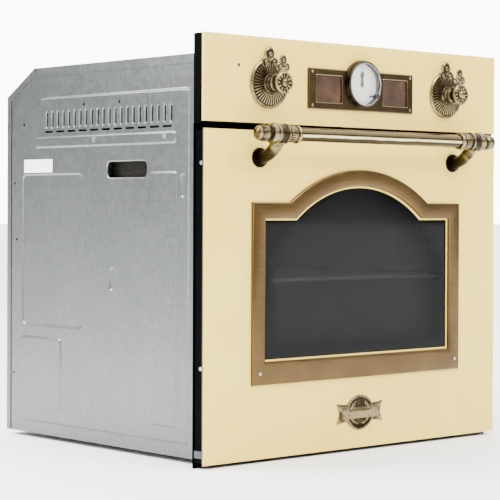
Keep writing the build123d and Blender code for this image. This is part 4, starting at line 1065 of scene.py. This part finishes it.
def cartouche():
    banner = slab([(-BADGE_W, -15.0), (-BADGE_W + 9, -13.2), (-28, -12.6), (28, -12.6), (BADGE_W - 9, -13.2),
                   (BADGE_W, -15.0), (BADGE_W - 4, -6), (BADGE_W - 5.5, 0), (BADGE_W - 4, 6), (BADGE_W, 15.0),
                   (BADGE_W - 9, 13.2), (28, 12.6), (-28, 12.6), (-BADGE_W + 9, 13.2), (-BADGE_W, 15.0),
                   (-BADGE_W + 4, 6), (-BADGE_W + 5.5, 0), (-BADGE_W + 4, -6)], 1.5, 0.5)
    field = slab([(-BADGE_W + 10, -8.5), (BADGE_W - 10, -8.5), (BADGE_W - 10, 8.5), (-BADGE_W + 10, 8.5)], 2.0, 0.4)
    boss = turned([(0, 0), (1.0, 0), (1.0, 1.4), (0.965, 1.9), (0.93, 2.1), (0.89, 1.9), (0.86, 1.5), (0.5, 1.9),
                   (0, 2.05)], 64)
    bmesh.ops.scale(boss, vec=(BOSS_W, BADGE_H, 1), verts=boss.verts)
    rope = []
    for k in range(56):
        a = 2 * pi * k / 56
        bead = ball((1.5, 0.95, 0.75), (0, 0, 0), (8, 5))
        moved(bead, shift(cos(a) * BOSS_W * 0.93, sin(a) * BADGE_H * 0.93, 2.0) @ Matrix.Rotation(a + pi / 4, 4, "Z"))
        rope.append(bead)
    leaves = []
    for side in (-1, 1):
        for k in range(9):
            a = radians(-70 + 15.5 * k)
            x, y = side * cos(a) * 19.5, sin(a) * 16.5
            leaf = ball((1.5, 3.6, 0.8), (0, 0, 0), (10, 6))
            moved(leaf, shift(x, y, 1.9) @ Matrix.Rotation(side * (a * 0.9 - 0.5), 4, "Z"))
            leaves.append(leaf)
    bar = slab([(-21, -5.2), (21, -5.2), (22.4, 0), (21, 5.2), (-21, 5.2), (-22.4, 0)], 2.7, 0.5)
    return joined([banner, field, boss, bar] + rope + leaves)


piece("cartouche", cartouche(), BRONZE, "door", at=(0, FACE_Y, BADGE_Z), replaces=("door_badge",))

# %% [markdown]
# ## Small things on the housing and the door
# A blank label on the left side and grey caps at the door's lower corners. They are too small to matter to
# the motion, but the eye expects them.

# %% Label and caps
side_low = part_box("side_panel_left")[0]
label = slab([(358, 400), (433, 400), (433, 420), (358, 420)], 0.25, 0.1, 1)
LEFT_FACE = Matrix(((0, 0, -1, 0), (-1, 0, 0, 0), (0, 1, 0, 0), (0, 0, 0, 1)))
label_flat = moved(label, Matrix.Scale(-1, 4, (1, 0, 0)))
piece("blank_label", label_flat, LABEL, "housing", stand=LEFT_FACE,
      at=(side_low.x / MM + 1.2, 0, 0))

skin_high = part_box("door_skin")[1]
for name, side in (("left", -1), ("right", 1)):
    cap = slab([(-8, -5), (8, -5), (8, 5), (-8, 5)], 1.2, 0.5)
    stand = Matrix.Rotation(side * pi / 2, 4, "Z") @ TO_FRONT
    piece(f"door_corner_cap_{name}", cap, NYLON, "door", stand=stand,
          at=(side * (skin_high.x / MM - 1.4), FACE_Y + 11.6, 12.0))

# %% [markdown]
# ## Floor
# The floor is not part of the object.

# %% Floor
floor_mesh = bpy.data.meshes.new("studio_floor")
ground = bmesh.new()
bmesh.ops.create_grid(ground, x_segments=1, y_segments=1, size=30.0)
bmesh.ops.translate(ground, vec=(0, 0, cad_box[0][2]), verts=ground.verts)
ground.to_mesh(floor_mesh)
ground.free()
floor = bpy.data.objects.new("studio_floor", floor_mesh)
bpy.context.scene.collection.objects.link(floor)
paper, paper_tree, paper_shader, paper_where = finish("white_paper_floor", Roughness=0.9)
paper_colour = ramp(paper_tree, noise(paper_tree, paper_where, 900), (0.3, "FAFAF9"), (0.7, "FCFCFB"))
paper_tree.links.new(paper_colour, paper_shader.inputs["Base Color"])
floor_mesh.materials.append(paper)
